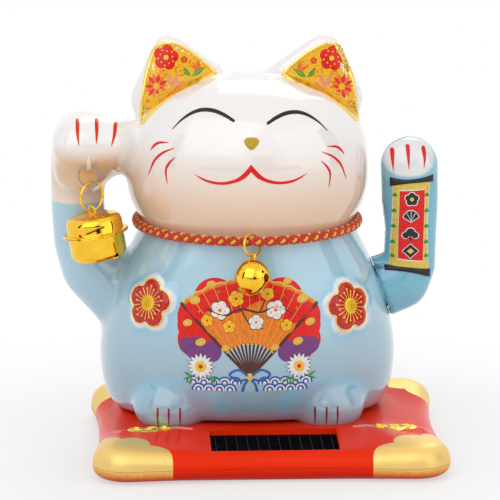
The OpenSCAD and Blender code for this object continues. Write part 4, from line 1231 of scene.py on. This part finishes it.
    # a white chrysanthemum low on each side
    for x in (-17.6, 18.4):
        for k in range(16):
            a = 360 * k / 16
            addPatch(sheet, leaf(polar((x, -11.6), 1.3, a), 3.9, 1.75, a), ink, 0.13, step=0.7)
            addPatch(sheet, leaf(polar((x, -11.6), 1.4, a), 3.6, 1.35, a), white, 0.16, step=0.7)
        addPatch(sheet, ringOf(1.9, 18, (x, -11.6)), yellow, 0.19, 0.1, 0.6, 0.5)
        addPatch(sheet, ringOf(0.8, 12, (x, -11.6)), red, 0.3, 0.05, 0.4, 0.4)
        addSpray(sheet, (x - 3.2, -15.6), 3.6, green, 0.12, (150, 200, 250) if x < 0 else (215, 270, 320))
        addSpray(sheet, (x + 3.2, -15.6), 3.6, green, 0.12, (-50, -10) if x < 0 else (30, -20))
    # sparks
    for x, y in ((-11, 16), (0, 18.2), (12.5, 14.6), (-18, 8.6), (17.6, 9.6), (-1.8, 1.2), (8.2, 0.8), (-12.2, -0.4)):
        for turn, length in ((0, 1.8), (0, 1.81), (90, 1.8), (90, 1.81)):
            addPatch(sheet, leaf(polar((x, y), -0.9, turn), length, 0.3, turn), yellow, 0.2, step=0.5)
    finishes = ["inlayRed", "paintOrange", "foilGold", "paintYellow", "paintWhite", "paintBrown", "paintBlue",
                "paintPurple", "paintInk", "inlayGreen"]
    note("belly", pieceFrom("belly-picture", sheet, finishes, "body", "foil"))


makeBelly()
print("belly picture done")


collar = {"wire": 0.62, "braid": 1.06, "weave": 0.26, "turns": 29, "core": 0.95, "samples": 930}


def makeCollar():
    low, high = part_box("collar_cord")
    middle = (low + high) / 2
    ringRadius = (high.x - low.x) / 2 - (high.z - low.z) / 2
    tree, sheet = braidTree(), newSheet()
    for way, second in ((1.0, "cordYellow"), (-1.0, "cordRed")):
        values = {"Ring Radius": ringRadius, "Braid Radius": collar["braid"] * mm, "Weave": collar["weave"] * mm,
                  "Strand Radius": collar["wire"] * mm, "Turns": float(collar["turns"]), "Way": way,
                  "Samples": collar["samples"], "Material": materials["cordRed"],
                  "Second Material": materials[second]}
        addFaces(sheet, grow("braid %+d" % way, tree, values), {"cordRed": 0, "cordYellow": 1})
    turn = Matrix.Rotation(math.radians(-90), 3, "Z")
    for p in sheet["points"]:
        p.rotate(turn)
        p += middle
    core = [middle + Vector((math.cos(a), math.sin(a), 0)) * ringRadius
            for a in (2 * math.pi * k / 160 for k in range(160))]
    addWire(sheet, core, collar["core"], 2, 10)
    pieceFrom("braided-collar", sheet, ["cordRed", "cordYellow", "cordCore"], "body", "braid",
              "collar_cord", sharp=None)


makeCollar()

ballBell = {"slitHalf": 0.42, "slitTo": 74, "holeHalf": 1.5, "wall": 0.5, "lip": 0.32, "lipWide": 0.7, "inset": 0.12,
            "shankRise": 1.2, "shankWire": 0.4, "hole": (0.759, -0.03, 0.65), "way": (-0.249, -0.937, 0.248)}


def jointOf(name):
    return next(j for j in frame["record"]["behaviour"]["joints"] if j["name"] == name)


# Half width of the keyhole at a turn along it: a slit with a round hole at each end
def keyhole(turn, radius):
    slit = ballBell["slitHalf"] if abs(turn) < math.radians(ballBell["slitTo"]) else 0
    off = (abs(turn) - math.radians(ballBell["slitTo"])) * radius / mm
    return max(slit, math.sqrt(max(0, ballBell["holeHalf"] ** 2 - off ** 2)))


# Round bell as two skins of one grid, whose equator opens into the keyhole
def makeBallBell():
    b = ballBell
    low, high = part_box("collar_bell_bottom")
    radius = (high.x - low.x) / 2
    hang = Vector(jointOf("neck_pellet_rattle")["axis"])
    middle = Vector(jointOf("neck_bell_swing")["pos_m"]) - hang * (radius + b["shankRise"] * mm)
    hole, run = (camera.matrix_world.to_3x3() @ Vector(b[key]) for key in ("hole", "way"))
    hole.normalize()
    run = (run - hole * run.dot(hole)).normalized()
    pole = hole.cross(run)
    reach = math.radians(b["slitTo"])
    front = (hole * math.cos(reach) + run * math.sin(reach)).normalized()
    side = pole.cross(front)
    sheet, columns, rows = newSheet(), 180, 30
    turns = [-math.pi + 2 * math.pi * k / columns for k in range(columns)]
    wide = rows + 1
    for half in (1, -1):
        base = len(sheet["points"])
        for outside in (1, 0):
            for turn in turns:
                first = keyhole(turn, radius) * mm / radius
                for j in range(wide):
                    rise = first + (math.pi / 2 - first) * (j / rows) ** 1.5
                    lip = b["lip"] * math.exp(-((rise - first) * radius / mm / b["lipWide"]) ** 2) if first else 0
                    inset = b["inset"] if outside and first and not j else 0
                    r = radius + (lip if outside else -b["wall"]) * mm - inset * mm
                    around = front * math.cos(turn) + side * math.sin(turn)
                    sheet["points"].append(middle + (around * math.cos(rise) + pole * half * math.sin(rise)) * r)
        for k in range(columns):
            i = (k + 1) % columns
            for layer in (0, 1):
                a, c = base + (layer * columns + k) * wide, base + (layer * columns + i) * wide
                for j in range(rows):
                    quad = [a + j, c + j, c + j + 1, a + j + 1]
                    addFace(sheet, quad if (half > 0) == (layer == 0) else quad[::-1], 0)
            if keyhole(turns[k], radius) or keyhole(turns[i], radius):
                a, c = base + k * wide, base + i * wide
                quad = [c, a, a + columns * wide, c + columns * wide]
                addFace(sheet, quad if half > 0 else quad[::-1], 0)
    splitRing(sheet, "collar_bell_top", 0, b["shankWire"], 0,
              lambda p: (p - middle).length > radius + 0.3 * mm, turns=1, crossing=1)
    piece = pieceFrom("collar-bell", sheet, ["mirrorGold"], "neck_bell", "gilt", "collar_bell_top",
                      "collar_bell_bottom", sharp=None)
    tidied(piece)
    note("collarBell", piece)


makeBallBell()

rings = {
    "collar_ring": {"name": "collar-split-ring", "body": "neck_ring", "slot": "gilt", "finish": "wireGold",
                    "wire": 0.36, "gap": 0.30},
    "paw_ring": {"name": "paw-split-ring", "body": "split_ring", "slot": "steel", "finish": "wireSteel",
                 "wire": 0.26, "gap": 0.24},
    "paw_loop": {"name": "paw-bell-loop", "body": "paw_bell", "slot": "gilt", "finish": "wireGold",
                 "wire": 0.36, "gap": 0.32},
}


def makeRings():
    for node, ring in rings.items():
        sheet = newSheet()
        splitRing(sheet, node, 0, ring["wire"], ring["gap"])
        pieceFrom(ring["name"], sheet, [ring["finish"]], ring["body"], ring["slot"], node, sharp=None)


makeRings()
print("collar, bell and rings done")


pawBell = {"radius": 10.3, "cap": 6.6, "cup": 10.0, "corner": 3.0, "flange": 12.1, "sheet": 0.5, "slotHalf": 0.6,
           "slotHole": 1.6, "slotReach": 8.7, "slotTurn": -50, "eyeWire": 0.4, "cutDepths": (7.4, 11.5)}


def drumProfile(height, corner):
    r, s = pawBell["radius"], pawBell["sheet"]
    outer = [(0, height), ((r - corner) * 0.5, height + 0.05), (r - corner, height)]
    outer += [(r - corner + corner * math.sin(a), height - corner + corner * math.cos(a))
              for a in (math.pi / 2 * k / 10 for k in range(1, 11))]
    outer += [(r, 1.0), (r + 0.16, 0.66), (r + 0.5, 0.52), (pawBell["flange"] - 0.25, 0.5),
              (pawBell["flange"] - 0.06, 0.4), (pawBell["flange"], 0.24), (pawBell["flange"] - 0.06, 0.08),
              (pawBell["flange"] - 0.25, 0.01), (r - s, 0.01)]
    inside = [(r - corner + (corner - s) * math.sin(a), height - corner + (corner - s) * math.cos(a))
              for a in (math.pi / 2 * k / 6 for k in range(6, -1, -1))]
    return outer + inside + [(0, height - s)]


def slab(shape, low, high):
    made = bmesh.ops.create_cube(shape, size=1)["verts"]
    for v in made:
        for k in range(3):
            v.co[k] = low[k] if v.co[k] < 0 else high[k]


def slabObject(name, *boxes):
    mesh = bpy.data.meshes.new(name)
    shape = bmesh.new()
    for low, high in boxes:
        slab(shape, Vector(low), Vector(high))
    shape.to_mesh(mesh)
    shape.free()
    return addObject(name, mesh)


def cutWith(obj, cutter, name):
    cut = obj.modifiers.new("cut", "BOOLEAN")
    cut.object, cut.operation, cut.solver = cutter, "DIFFERENCE", "EXACT"
    made = evaluated(obj, name)
    bpy.data.objects.remove(cutter)
    return made


def makePawBell():
    b = pawBell
    axis = Vector(jointOf("paw_pellet_rattle")["axis"]).normalized()
    rim = [v.co.copy() for v in nodes["paw_bell_cap"].data.vertices]
    lowest = min(p.dot(axis) for p in rim)
    rim = [p for p in rim if p.dot(axis) < lowest + 0.05 * mm]
    middle = Vector([(least + most) / 2 for least, most in zip(*extent(rim))])
    side = Vector((axis.z, 0, -axis.x))
    sheet = newSheet()
    addLathe(sheet, drumProfile(b["cap"], b["corner"]), middle, axis, 0, start=side)
    splitRing(sheet, "paw_bell_cap", 0, b["eyeWire"], 0,
              lambda p: (p - middle).dot(axis) > (b["cap"] + 0.3) * mm, turns=1, crossing=1)
    cap = tidied(pieceFrom("paw-bell-cap", sheet, ["mirrorGold"], "paw_bell", "gilt", "paw_bell_cap"))
    sheet = newSheet()
    addLathe(sheet, drumProfile(b["cup"], b["corner"]), middle, -axis, 0, start=side)
    cup = tidied(objectFrom("cup work", sheet["points"], sheet["faces"]))
    turn = math.radians(b["slotTurn"])
    way = side * math.cos(turn) + axis.cross(side) * math.sin(turn)
    across = axis.cross(way)
    reach, half = b["slotReach"], b["slotHalf"]
    hole, start, outline = b["slotHole"], math.asin(half / b["slotHole"]), []
    for end in (1, -1):
        for k in range(17):
            a = math.pi - start - (2 * math.pi - 2 * start) * k / 16
            outline.append((end * (reach + hole * math.cos(a)), end * hole * math.sin(a)))
    points, count = [], len(outline)
    for depth in b["cutDepths"]:
        floor = middle - axis * (depth * mm)
        points += [floor + way * (x * mm) + across * (y * mm) for x, y in outline]
    faces = [[k, (k + 1) % count, count + (k + 1) % count, count + k] for k in range(count)]
    faces += [list(range(count)), list(range(2 * count - 1, count - 1, -1))]
    cup = cutWith(cup, tidied(objectFrom("slot", points, faces)), "paw-bell-cup")
    setFinish(cup, "mirrorGold", sharp=40)
    settle(cup, "paw_bell", "gilt", "paw_bell_cup")
    note("pawBell", cap, cup)


makePawBell()
print("paw bell done")


waving = {"voxel": 0.62, "rounds": 5, "near": 6.0, "whole": 4.2, "gap": 0.1, "inside": 48,
          "top": 73, "fade": 5, "hubRadius": 7.6, "hubWall": 1.2, "hubReach": (-4.4, 5.0),
          "plugBeside": 2.2, "plugHalf": 1.6, "plugDepths": (0.02, 1.4), "lookFrom": 4, "lookTo": 16}


# Stops the screw's bore short of the arm's front
def plugBore(shape):
    low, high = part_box("arm_screw")
    x, z = (low.x + high.x) / 2, (low.z + high.z) / 2
    tree = treeOf(nodes["arm_front_shell"])
    beside, half, (near, far) = (waving[key] for key in ("plugBeside", "plugHalf", "plugDepths"))
    front = max(tree.ray_cast(Vector((x + dx * mm, -0.2, z + dz * mm)), inward)[0].y
                for dx, dz in ((beside, 0), (-beside, 0), (0, beside), (0, -beside)))
    slab(shape, (x - half * mm, front + near * mm, z - half * mm), (x + half * mm, front + far * mm, z + half * mm))


# The nearest that the cat's side comes to a point of the arm anywhere in the swing
def swingRoom(co):
    joint, room = jointOf("arm_swing"), 1.0
    pivot, reach = Vector(joint["pos_m"]), joint["range_deg"][1]
    for share in (-1, -0.75, -0.5, -0.25, 0, 0.25, 0.5, 0.75, 1):
        turned = pivot + Matrix.Rotation(math.radians(reach * share), 3, "X") @ (co - pivot)
        start = turned + rightward * (waving["lookFrom"] * mm)
        spot = skinTree.ray_cast(start, -rightward, waving["lookTo"] * mm)[0]
        if spot is not None:
            room = min(room, turned.x - spot.x)
    return room


# Draws the arm's inner face close to the cat's side, as the real one's is
def closeUp(obj):
    for v in obj.data.vertices:
        if v.co.x > waving["inside"] * mm or v.co.z > waving["top"] * mm or v.normal.x > -0.2:
            continue
        room = swingRoom(v.co) / mm
        if room > waving["near"]:
            continue
        share = max(0, min(1, (waving["near"] - room) / (waving["near"] - waving["whole"])))
        share *= min(1, (waving["top"] - v.co.z / mm) / waving["fade"])
        v.co.x -= share * (room - waving["gap"]) * mm
    return obj


armHalves = []
for node, name, extra in (("arm_front_shell", "waving-arm-front", plugBore),
                          ("arm_back_shell", "waving-arm-back", None)):
    half = closeUp(softCopy(node, name, waving["voxel"], waving["rounds"], extra))
    setFinish(half, "armGlaze", sharp=None)
    armHalves.append(settle(half, "arm", "arm_plastic", node))
armTree = treeOf(*armHalves)


# Round hub on the swing's axis that closes the slit between the arm and the cat's side
def makeHub():
    pivot, sheet = Vector(jointOf("arm_swing")["pos_m"]), newSheet()
    side = skinTree.ray_cast(Vector((0.09, pivot.y - 0.009, pivot.z)), -rightward)[0].x
    low, high, outer = *waving["hubReach"], waving["hubRadius"]
    inner = outer - waving["hubWall"]
    profile = [(inner, low), (outer, low), (outer, high), (inner, high)]
    addLathe(sheet, profile, Vector((side, pivot.y, pivot.z)), rightward, 0)
    tidied(pieceFrom("waving-arm-hub", sheet, ["armGlaze"], "arm", "arm_plastic"))


makeHub()
makeClaws("armClaws", armTree, "arm", "arm_plastic")

scroll = {
    "left": [(-5.9, 16.4), (-6.0, 8), (-6.2, 0), (-6.6, -8), (-7.1, -15.6)],
    "right": [(8.0, 17.2), (7.4, 8), (7.2, 0), (7.4, -8), (7.8, -17.4)],
    "top": [[(-6.9, 18.3), (-2.5, 17.7), (0.8, 17.7), (5, 18.2), (9.2, 19.1)],
            [(9.3, 16.4), (5, 16.4), (0.8, 16.2), (-3, 15.7), (-6.9, 14.8)]],
    "foot": [[(-8.8, -14.9), (-4, -15.5), (0, -15.8), (4, -16.3), (8.4, -16.9)],
             [(8.5, -20.3), (4, -18.6), (0, -17.6), (-4, -17.2), (-8.8, -17.0)]],
    "panel": ((-3.5, 13.6), (6.1, 14.0), (5.6, -13.9), (-3.9, -12.9)),
    "crests": (10.2, 3.6, -3.0, -9.6),
}


def drawnIn(outline, by):
    middle = sum((Vector(p) for p in outline), Vector((0, 0))) / len(outline)
    return [Vector(p) - (Vector(p) - middle).normalized() * by for p in outline]


def makeScroll():
    sheet = newSheet(onSkin("scroll", armTree))
    gold, white, red, black, green, orange = range(6)
    look = scroll
    ring = spline([Vector(p) for p in look["left"]], 4)[::-1] + spline([Vector(p) for p in look["right"]], 4)
    addPatch(sheet, ring, white, 0.10, step=0.9, skirt=0.25)
    addPatch(sheet, drawnIn(ring, 0.42), gold, 0.14, step=0.9)
    addPatch(sheet, [Vector(p) for p in look["panel"]], white, 0.17, step=0.9)
    addPatch(sheet, drawnIn(look["panel"], 0.4), red, 0.2, step=0.9)
    for key in ("top", "foot"):
        bar = [p for arc in look[key] for p in spline([Vector(q) for q in arc], 4)]
        addPatch(sheet, bar, black, 0.15, 0.55, 0.9, 0.35, 0.3)
    middle = [1.15, 0.9, 0.75, 0.8]

    def twice(outline):
        addPatch(sheet, drawnIn(outline, -0.34), white, 0.24, step=0.6)
        addPatch(sheet, outline, black, 0.28, step=0.6)

    # crests: plum blossom, folding fan, pine, lozenge
    y = look["crests"]
    twice(lobes(2.5, turn=90, center=(middle[0], y[0]), steps=10))
    addPatch(sheet, ringOf(0.75, 14, (middle[0], y[0])), gold, 0.33, 0.08, 0.4, 0.4)

    def fanPoint(wide, high, share):
        a = math.radians(22 + 136 * share)
        return Vector((middle[1] + wide * math.cos(a), y[1] - 1.7 + high * math.sin(a)))

    twice([Vector((middle[1], y[1] - 2.0))] + [fanPoint(3.0, 3.9, k / 12) for k in range(13)])
    for k in range(1, 4):
        addStroke(sheet, [(middle[1], y[1] - 1.7), fanPoint(2.7, 3.5, k / 4)], [0.08, 0.12], white, 0.33, 0.03)
    pine = cloud([(-1.7, -0.6, 1.2), (0, 0.5, 1.6), (1.7, -0.6, 1.2)], steps=40)
    twice([Vector((middle[2] + p.x, y[2] + p.y)) for p in pine])
    addStroke(sheet, [(middle[2], y[2] - 1.0), (middle[2], y[2] - 2.5)], [0.28, 0.28], black, 0.28, 0.03)
    lozenge = [Vector((middle[3] + x, y[3] + v)) for x, v in ((0, 2.6), (2.9, 0), (0, -2.6), (-2.9, 0))]
    twice(lozenge)
    addPatch(sheet, [Vector((middle[3], y[3])) + (p - Vector((middle[3], y[3]))) * 0.45 for p in lozenge],
             gold, 0.33, step=0.6)
    for side, x in ((-1, -5.0), (1, 6.7)):
        for v in (11.5, 5.5, -0.5, -6.5, -11.8):
            shift = -0.06 * (12 - v) * 0.5 if side < 0 else 0
            addPatch(sheet, cloud([(x + shift - 0.45, v, 0.5), (x + shift + 0.35, v, 0.5),
                                          (x + shift, v + 0.5, 0.5)], (x + shift, v), 24), green, 0.19, step=0.5)
            addPatch(sheet, ringOf(0.25, 8, (x + shift, v + 2.6)), orange, 0.19, step=0.4)
    finishes = ["foilGold", "paintWhite", "inlayRed", "paintInk", "inlayGreen", "paintOrange"]
    note("scroll", pieceFrom("foil-scroll", sheet, finishes, "arm", "foil", "scroll_label"))


makeScroll()
print("waving arm done")


baseShell = {"voxel": 0.95, "rounds": 12, "lowVoxel": 0.9, "lowRounds": 5, "parting": 5.0, "lip": 2.5, "lap": 1.2}
window = {"front": -48.6, "back": -24.5, "glass": 10.0, "glassThick": 0.8, "tuck": 0.5, "frame": 2.0, "bars": 12}


# Stretches the rim at the parting line, so that a clean cut there comes after the smoothing
def stretchRim(shape, height, by):
    for v in shape.verts:
        if abs(v.co.z - height) < 0.02 * mm:
            v.co.z += by


# Bridges the window with a plate that follows the sloping top, for its frame to be cut from
def bridgeWindow(shape, tree, left, right):
    front, back, rows = window["front"] - window["frame"], window["back"] + window["frame"], []
    for k in range(10):
        y = (front + (back - front) * k / 9) * mm
        for x in (left - 0.8 * mm, right + 0.8 * mm):
            top = tree.ray_cast(Vector((x, y, 0.1)), -upward)[0].z
            rows.append([shape.verts.new((x, y, z)) for z in (top - 0.05 * mm, 8.6 * mm)])
    a, b, c, d = *rows[:2], *rows[-2:]
    faces = [(a[0], a[1], b[1], b[0]), (c[1], c[0], d[0], d[1])]
    for k in range(0, len(rows) - 2, 2):
        a, b, c, d = rows[k:k + 4]
        faces += [(a[0], b[0], d[0], c[0]), (a[1], c[1], d[1], b[1]),
                  (a[0], c[0], c[1], a[1]), (b[1], d[1], d[0], b[0])]
    for corners in faces:
        shape.faces.new(corners)


def makeBase():
    look = baseShell
    low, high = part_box("solar_cell")
    boxLow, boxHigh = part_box("base_upper_shell")
    left, right = low.x + look["lap"] * mm, high.x - look["lap"] * mm
    parting, lip = look["parting"] * mm, look["lip"] * mm
    tree = treeOf(nodes["base_upper_shell"])

    def allRound(foot, top):
        out = Vector((10, 10)) * mm
        return slabObject("rim-cut", ((*(boxLow.xy - out), foot), (*(boxHigh.xy + out), top)))

    def prepare(shape):
        stretchRim(shape, parting, -lip)
        bridgeWindow(shape, tree, left, right)

    upper = softCopy("base_upper_shell", "base-upper-shell", look["voxel"], look["rounds"], prepare)
    opening = ((left, window["front"] * mm, 6 * mm), (right, window["back"] * mm, 20 * mm))
    upper = cutWith(upper, slabObject("window-cut", opening), "base-upper-shell")
    upper = cutWith(upper, allRound(-10 * mm, parting), "base-upper-shell")
    setFinish(upper, "base", sharp=40)
    settle(upper, "body", "base_red", "base_upper_shell")
    lower = softCopy("base_lower_shell", "base-lower-shell", look["lowVoxel"], look["lowRounds"],
                     lambda shape: stretchRim(shape, parting - 0.1 * mm, lip))
    lower = cutWith(lower, allRound(parting - 0.1 * mm, 30 * mm), "base-lower-shell")
    setFinish(lower, "base", sharp=40)
    settle(lower, "body", "base_under", "base_lower_shell")
    tuck, top, front, back = (window[key] * mm for key in ("tuck", "glass", "front", "back"))
    glass = slabObject("solar-window", ((left - tuck, front - tuck, top - window["glassThick"] * mm),
                                        (right + tuck, back + tuck, top)))
    edge = glass.modifiers.new("edge", "BEVEL")
    edge.width, edge.segments = 0.12 * mm, 2
    glass = evaluated(glass, "solar-window")
    setFinish(glass, "windowBlack", sharp=40)
    settle(glass, "body", "cell", "solar_cell")
    return upper


base = makeBase()
baseTree = treeOf(base)

cloudPlate = {
    "puffs": [(-4.6, 0.8, 3.0), (0.6, -0.6, 4.0), (5.6, 0.6, 3.4)], "away": 44.3, "y": -24, "middle": 1.2,
    "spirals": ((-4.6, 0.8, 2.4, -1), (0.6, -0.4, 3.2, 1), (5.6, 0.6, 2.6, -1)),
    "tip": ((-6.6, 0.6), (-9.4, 1.4), (-12.2, 0.4), (-14.6, -0.6)),
}


def makeClouds():
    sheet = newSheet()
    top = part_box("base_upper_shell")[1].z
    for side in (-1, 1):
        x = cloudPlate["middle"] + side * cloudPlate["away"]
        anchor = Vector((x * mm, cloudPlate["y"] * mm, top + 0.02))
        sheet["place"] = placer(baseTree, anchor, rightward, inward, -upward, 0.06)
        puffs = [(side * x, y, r) for x, y, r in cloudPlate["puffs"]]
        addPatch(sheet, cloud(puffs), 0, 0.06, 0.45, 1.4, 0.7, 0.3)
        for x, y, r, way in cloudPlate["spirals"]:
            curl = [(side * x + r * (1 - 0.8 * t) * math.cos(math.radians(-40 + way * 440 * t)),
                     y + 0.8 * r * (1 - 0.8 * t) * math.sin(math.radians(-40 + way * 440 * t)))
                    for t in (k / 14 for k in range(15))]
            addStroke(sheet, curl, [0.42, 0.36, 0.24], 2, 0.42, 0.4, 2)
        addStroke(sheet, [(side * x, y) for x, y in cloudPlate["tip"]], [1.2, 1.3, 0.9, 0.3], 1, 0.1, 0.4, 6)
    pieceFrom("cloud-plates", sheet, ["goldLine", "inlayPink", "mirrorGold"], "body", "gilt")


makeClouds()


# Row of fine metal bars on the solar cell
def barTree():
    inputs = {"Bars": 12, "Spacing": 3.6 * mm, "Bar Length": 16.5 * mm, "Bar Width": 0.14 * mm, "Height": 0.06 * mm,
              "Material": None}
    tree, given, result = newTree("cell bars", inputs)
    line = addNode(tree, "GeometryNodeMeshLine", {"Count": given["Bars"]})
    apart = addNode(tree, "ShaderNodeCombineXYZ", {0: given["Spacing"]})
    tree.links.new(apart.outputs[0], line.inputs["Offset"])
    size = addNode(tree, "ShaderNodeCombineXYZ", {0: given["Bar Width"], 1: given["Bar Length"], 2: given["Height"]})
    bar = addNode(tree, "GeometryNodeMeshCube", {"Size": size.outputs[0]})
    placed = addNode(tree, "GeometryNodeInstanceOnPoints", {0: line.outputs[0], "Instance": bar.outputs[0]})
    tree.links.new(dressed(tree, given, placed).outputs[0], result[0])
    return tree


def makeCellBars():
    low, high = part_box("solar_cell")
    count, lap = window["bars"], baseShell["lap"] * mm
    spacing = (high.x - low.x - 2 * lap) / count
    middle = (window["front"] + window["back"]) / 2 * mm
    bars = grow("solar-cell-bars", barTree(), {
        "Bars": count, "Spacing": spacing, "Bar Length": (window["back"] - window["front"] - 1) * mm,
        "Material": materials["busbar"]})
    bars.data.transform(Matrix.Translation((low.x + lap + spacing / 2, middle, (window["glass"] + 0.01) * mm)))
    settle(bars, "body", "cell")


makeCellBars()
print("base done")


nodeFinish = {
    "collar_crimp": "brassCrimp", "base_screws": "screwSteel", "solar_cell": "windowBlack",
    "circuit_board": "boardGreen", "board_screws": "screwSteel", "driver_chip": "chipBlack", "capacitor": "canBlue",
    "coil_bobbin": "bobbinWhite", "drive_coil": "copperWire", "lead_red": "leadRed", "lead_black": "leadBlack",
    "pivot_bracket": "leverWhite", "bracket_screws": "screwSteel", "pivot_pin": "screwSteel",
    "swing_lever": "leverWhite", "magnet": "ferriteGrey", "counterweight": "screwSteel", "arm_screw": "screwSteel",
    "collar_bell_pellet": "screwSteel", "paw_bell_pellet": "screwSteel",
}
for node, finish in nodeFinish.items():
    obj = nodes[node]
    if not obj.material_slots:
        obj.data.materials.append(None)
    for slot in obj.material_slots:
        slot.material = materials[finish]
print("CAD pieces finished:", len(nodeFinish))


light = {"world": 0.62, "keyPower": 13, "keySize": 2.0, "key": (-0.75, -1.25, 1.35), "fillPower": 5,
         "fill": (1.3, -0.9, 0.7), "fillSize": 1.7, "rimPower": 6, "rim": (0.3, 1.2, 1.2), "rimSize": 0.9,
         "floorColor": (0.86, 0.86, 0.86), "glow": 0.55, "glowReach": (0.06, 0.2), "floorHalf": 3}


square = ((-1, -1), (1, -1), (1, 1), (-1, 1))


def seenDirectly(tree):
    path = addNode(tree, "ShaderNodeLightPath").outputs
    seen = maths(tree, "MAXIMUM", path["Is Camera Ray"], path["Is Glossy Ray"])
    return maths(tree, "MAXIMUM", seen, path["Is Transmission Ray"])


def makeWorld():
    world = bpy.data.worlds.new("studio")
    world.use_nodes = True
    tree = world.node_tree
    background = next(n for n in tree.nodes if n.type == "BACKGROUND")
    background.inputs["Color"].default_value = (1, 1, 1, 1)
    level = maths(tree, "MAXIMUM", seenDirectly(tree), light["world"])
    tree.links.new(level, background.inputs["Strength"])
    bpy.context.scene.world = world


def makeFloor():
    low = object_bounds()[0]
    corners = [(x * light["floorHalf"], y * light["floorHalf"], low.z - 0.1 * mm) for x, y in square]
    floor = objectFrom("floor", corners, [(0, 1, 2, 3)])
    made = bpy.data.materials.new("studio floor")
    made.use_nodes = True
    tree = made.node_tree
    tree.nodes.clear()
    diffuse = addNode(tree, "ShaderNodeBsdfDiffuse", {0: (*light["floorColor"], 1)})
    glow = addNode(tree, "ShaderNodeEmission", {"Strength": 1.0})
    place = addNode(tree, "ShaderNodeTexCoord").outputs["Object"]
    away = addNode(tree, "ShaderNodeVectorMath", {0: place}, operation="LENGTH").outputs["Value"]
    glowShare = ramp(tree, away, *light["glowReach"], (light["glow"], 1))
    share = maths(tree, "MULTIPLY", seenDirectly(tree), glowShare)
    mixed = addNode(tree, "ShaderNodeMixShader", {0: share, 1: diffuse.outputs[0], 2: glow.outputs[0]})
    addNode(tree, "ShaderNodeOutputMaterial", {0: mixed.outputs[0]})
    floor.data.materials.append(made)


def makeLamp(name, at, power, size):
    data = bpy.data.lights.new(name, "AREA")
    data.energy, data.size = power, size
    lamp = bpy.data.objects.new(name, data)
    lamp.location = at
    lamp.rotation_euler = (Vector(shot["target"]) - Vector(at)).to_track_quat("-Z", "Y").to_euler()
    bpy.context.scene.collection.objects.link(lamp)


# Dark cards that only shiny things mirror
def makeCard(name, at, size):
    facing = (Vector(shot["target"]) - Vector(at)).to_track_quat("Z", "Y").to_matrix()
    corners = [Vector(at) + facing @ Vector((x * size[0] / 2, y * size[1] / 2, 0)) for x, y in square]
    card = objectFrom(name, corners, [(0, 1, 2, 3)])
    card.data.materials.append(materials["card"])
    card.visible_camera = card.visible_diffuse = card.visible_shadow = card.visible_transmission = False


bpy.context.scene.view_settings.view_transform = "Standard"
makeWorld()
makeFloor()
for name in ("key", "fill", "rim"):
    makeLamp(name, light[name], light[name + "Power"], light[name + "Size"])
for name, at, size in (("low", (0, -1.4, 0.119), (2.4, 0.12)), ("middle", (0.42, -2.2, 0.22), (0.7, 0.8)),
                       ("left", (-1.5, -0.6, 0.5), (0.3, 1.2)), ("right", (1.5, -0.2, 0.5), (0.5, 1.2))):
    makeCard("card-" + name, at, size)
print("stage and lights done")


def writePoints():
    bpy.context.view_layer.update()
    pieces = [o for o in bpy.data.objects if o.type == "MESH" and o.visible_camera and not o.hide_render
              and o.name != "floor"]
    whole = treeOf(*pieces)
    eye = camera.matrix_world.translation
    for name, objects in shown.items():
        spots = []
        for obj in objects:
            for v in obj.data.vertices:
                away = v.co - eye
                hit = whole.ray_cast(eye, away.normalized())
                if hit[0] is not None and hit[3] > away.length - 0.4 * mm:
                    spots.append(pixelOf(v.co))
        if spots:
            x, y = ((least + most) / 2 for least, most in zip(*extent(spots, 2)))
    spots = [pixelOf(v.co) for obj in pieces for v in obj.data.vertices]
    (left, top), (right, bottom) = extent(spots, 2)
    edges = {"objectLeft": left, "objectRight": right, "objectTop": top, "objectBottom": bottom}
    for name, value in edges.items():
        x, y = imagePoints[name]


writePoints()
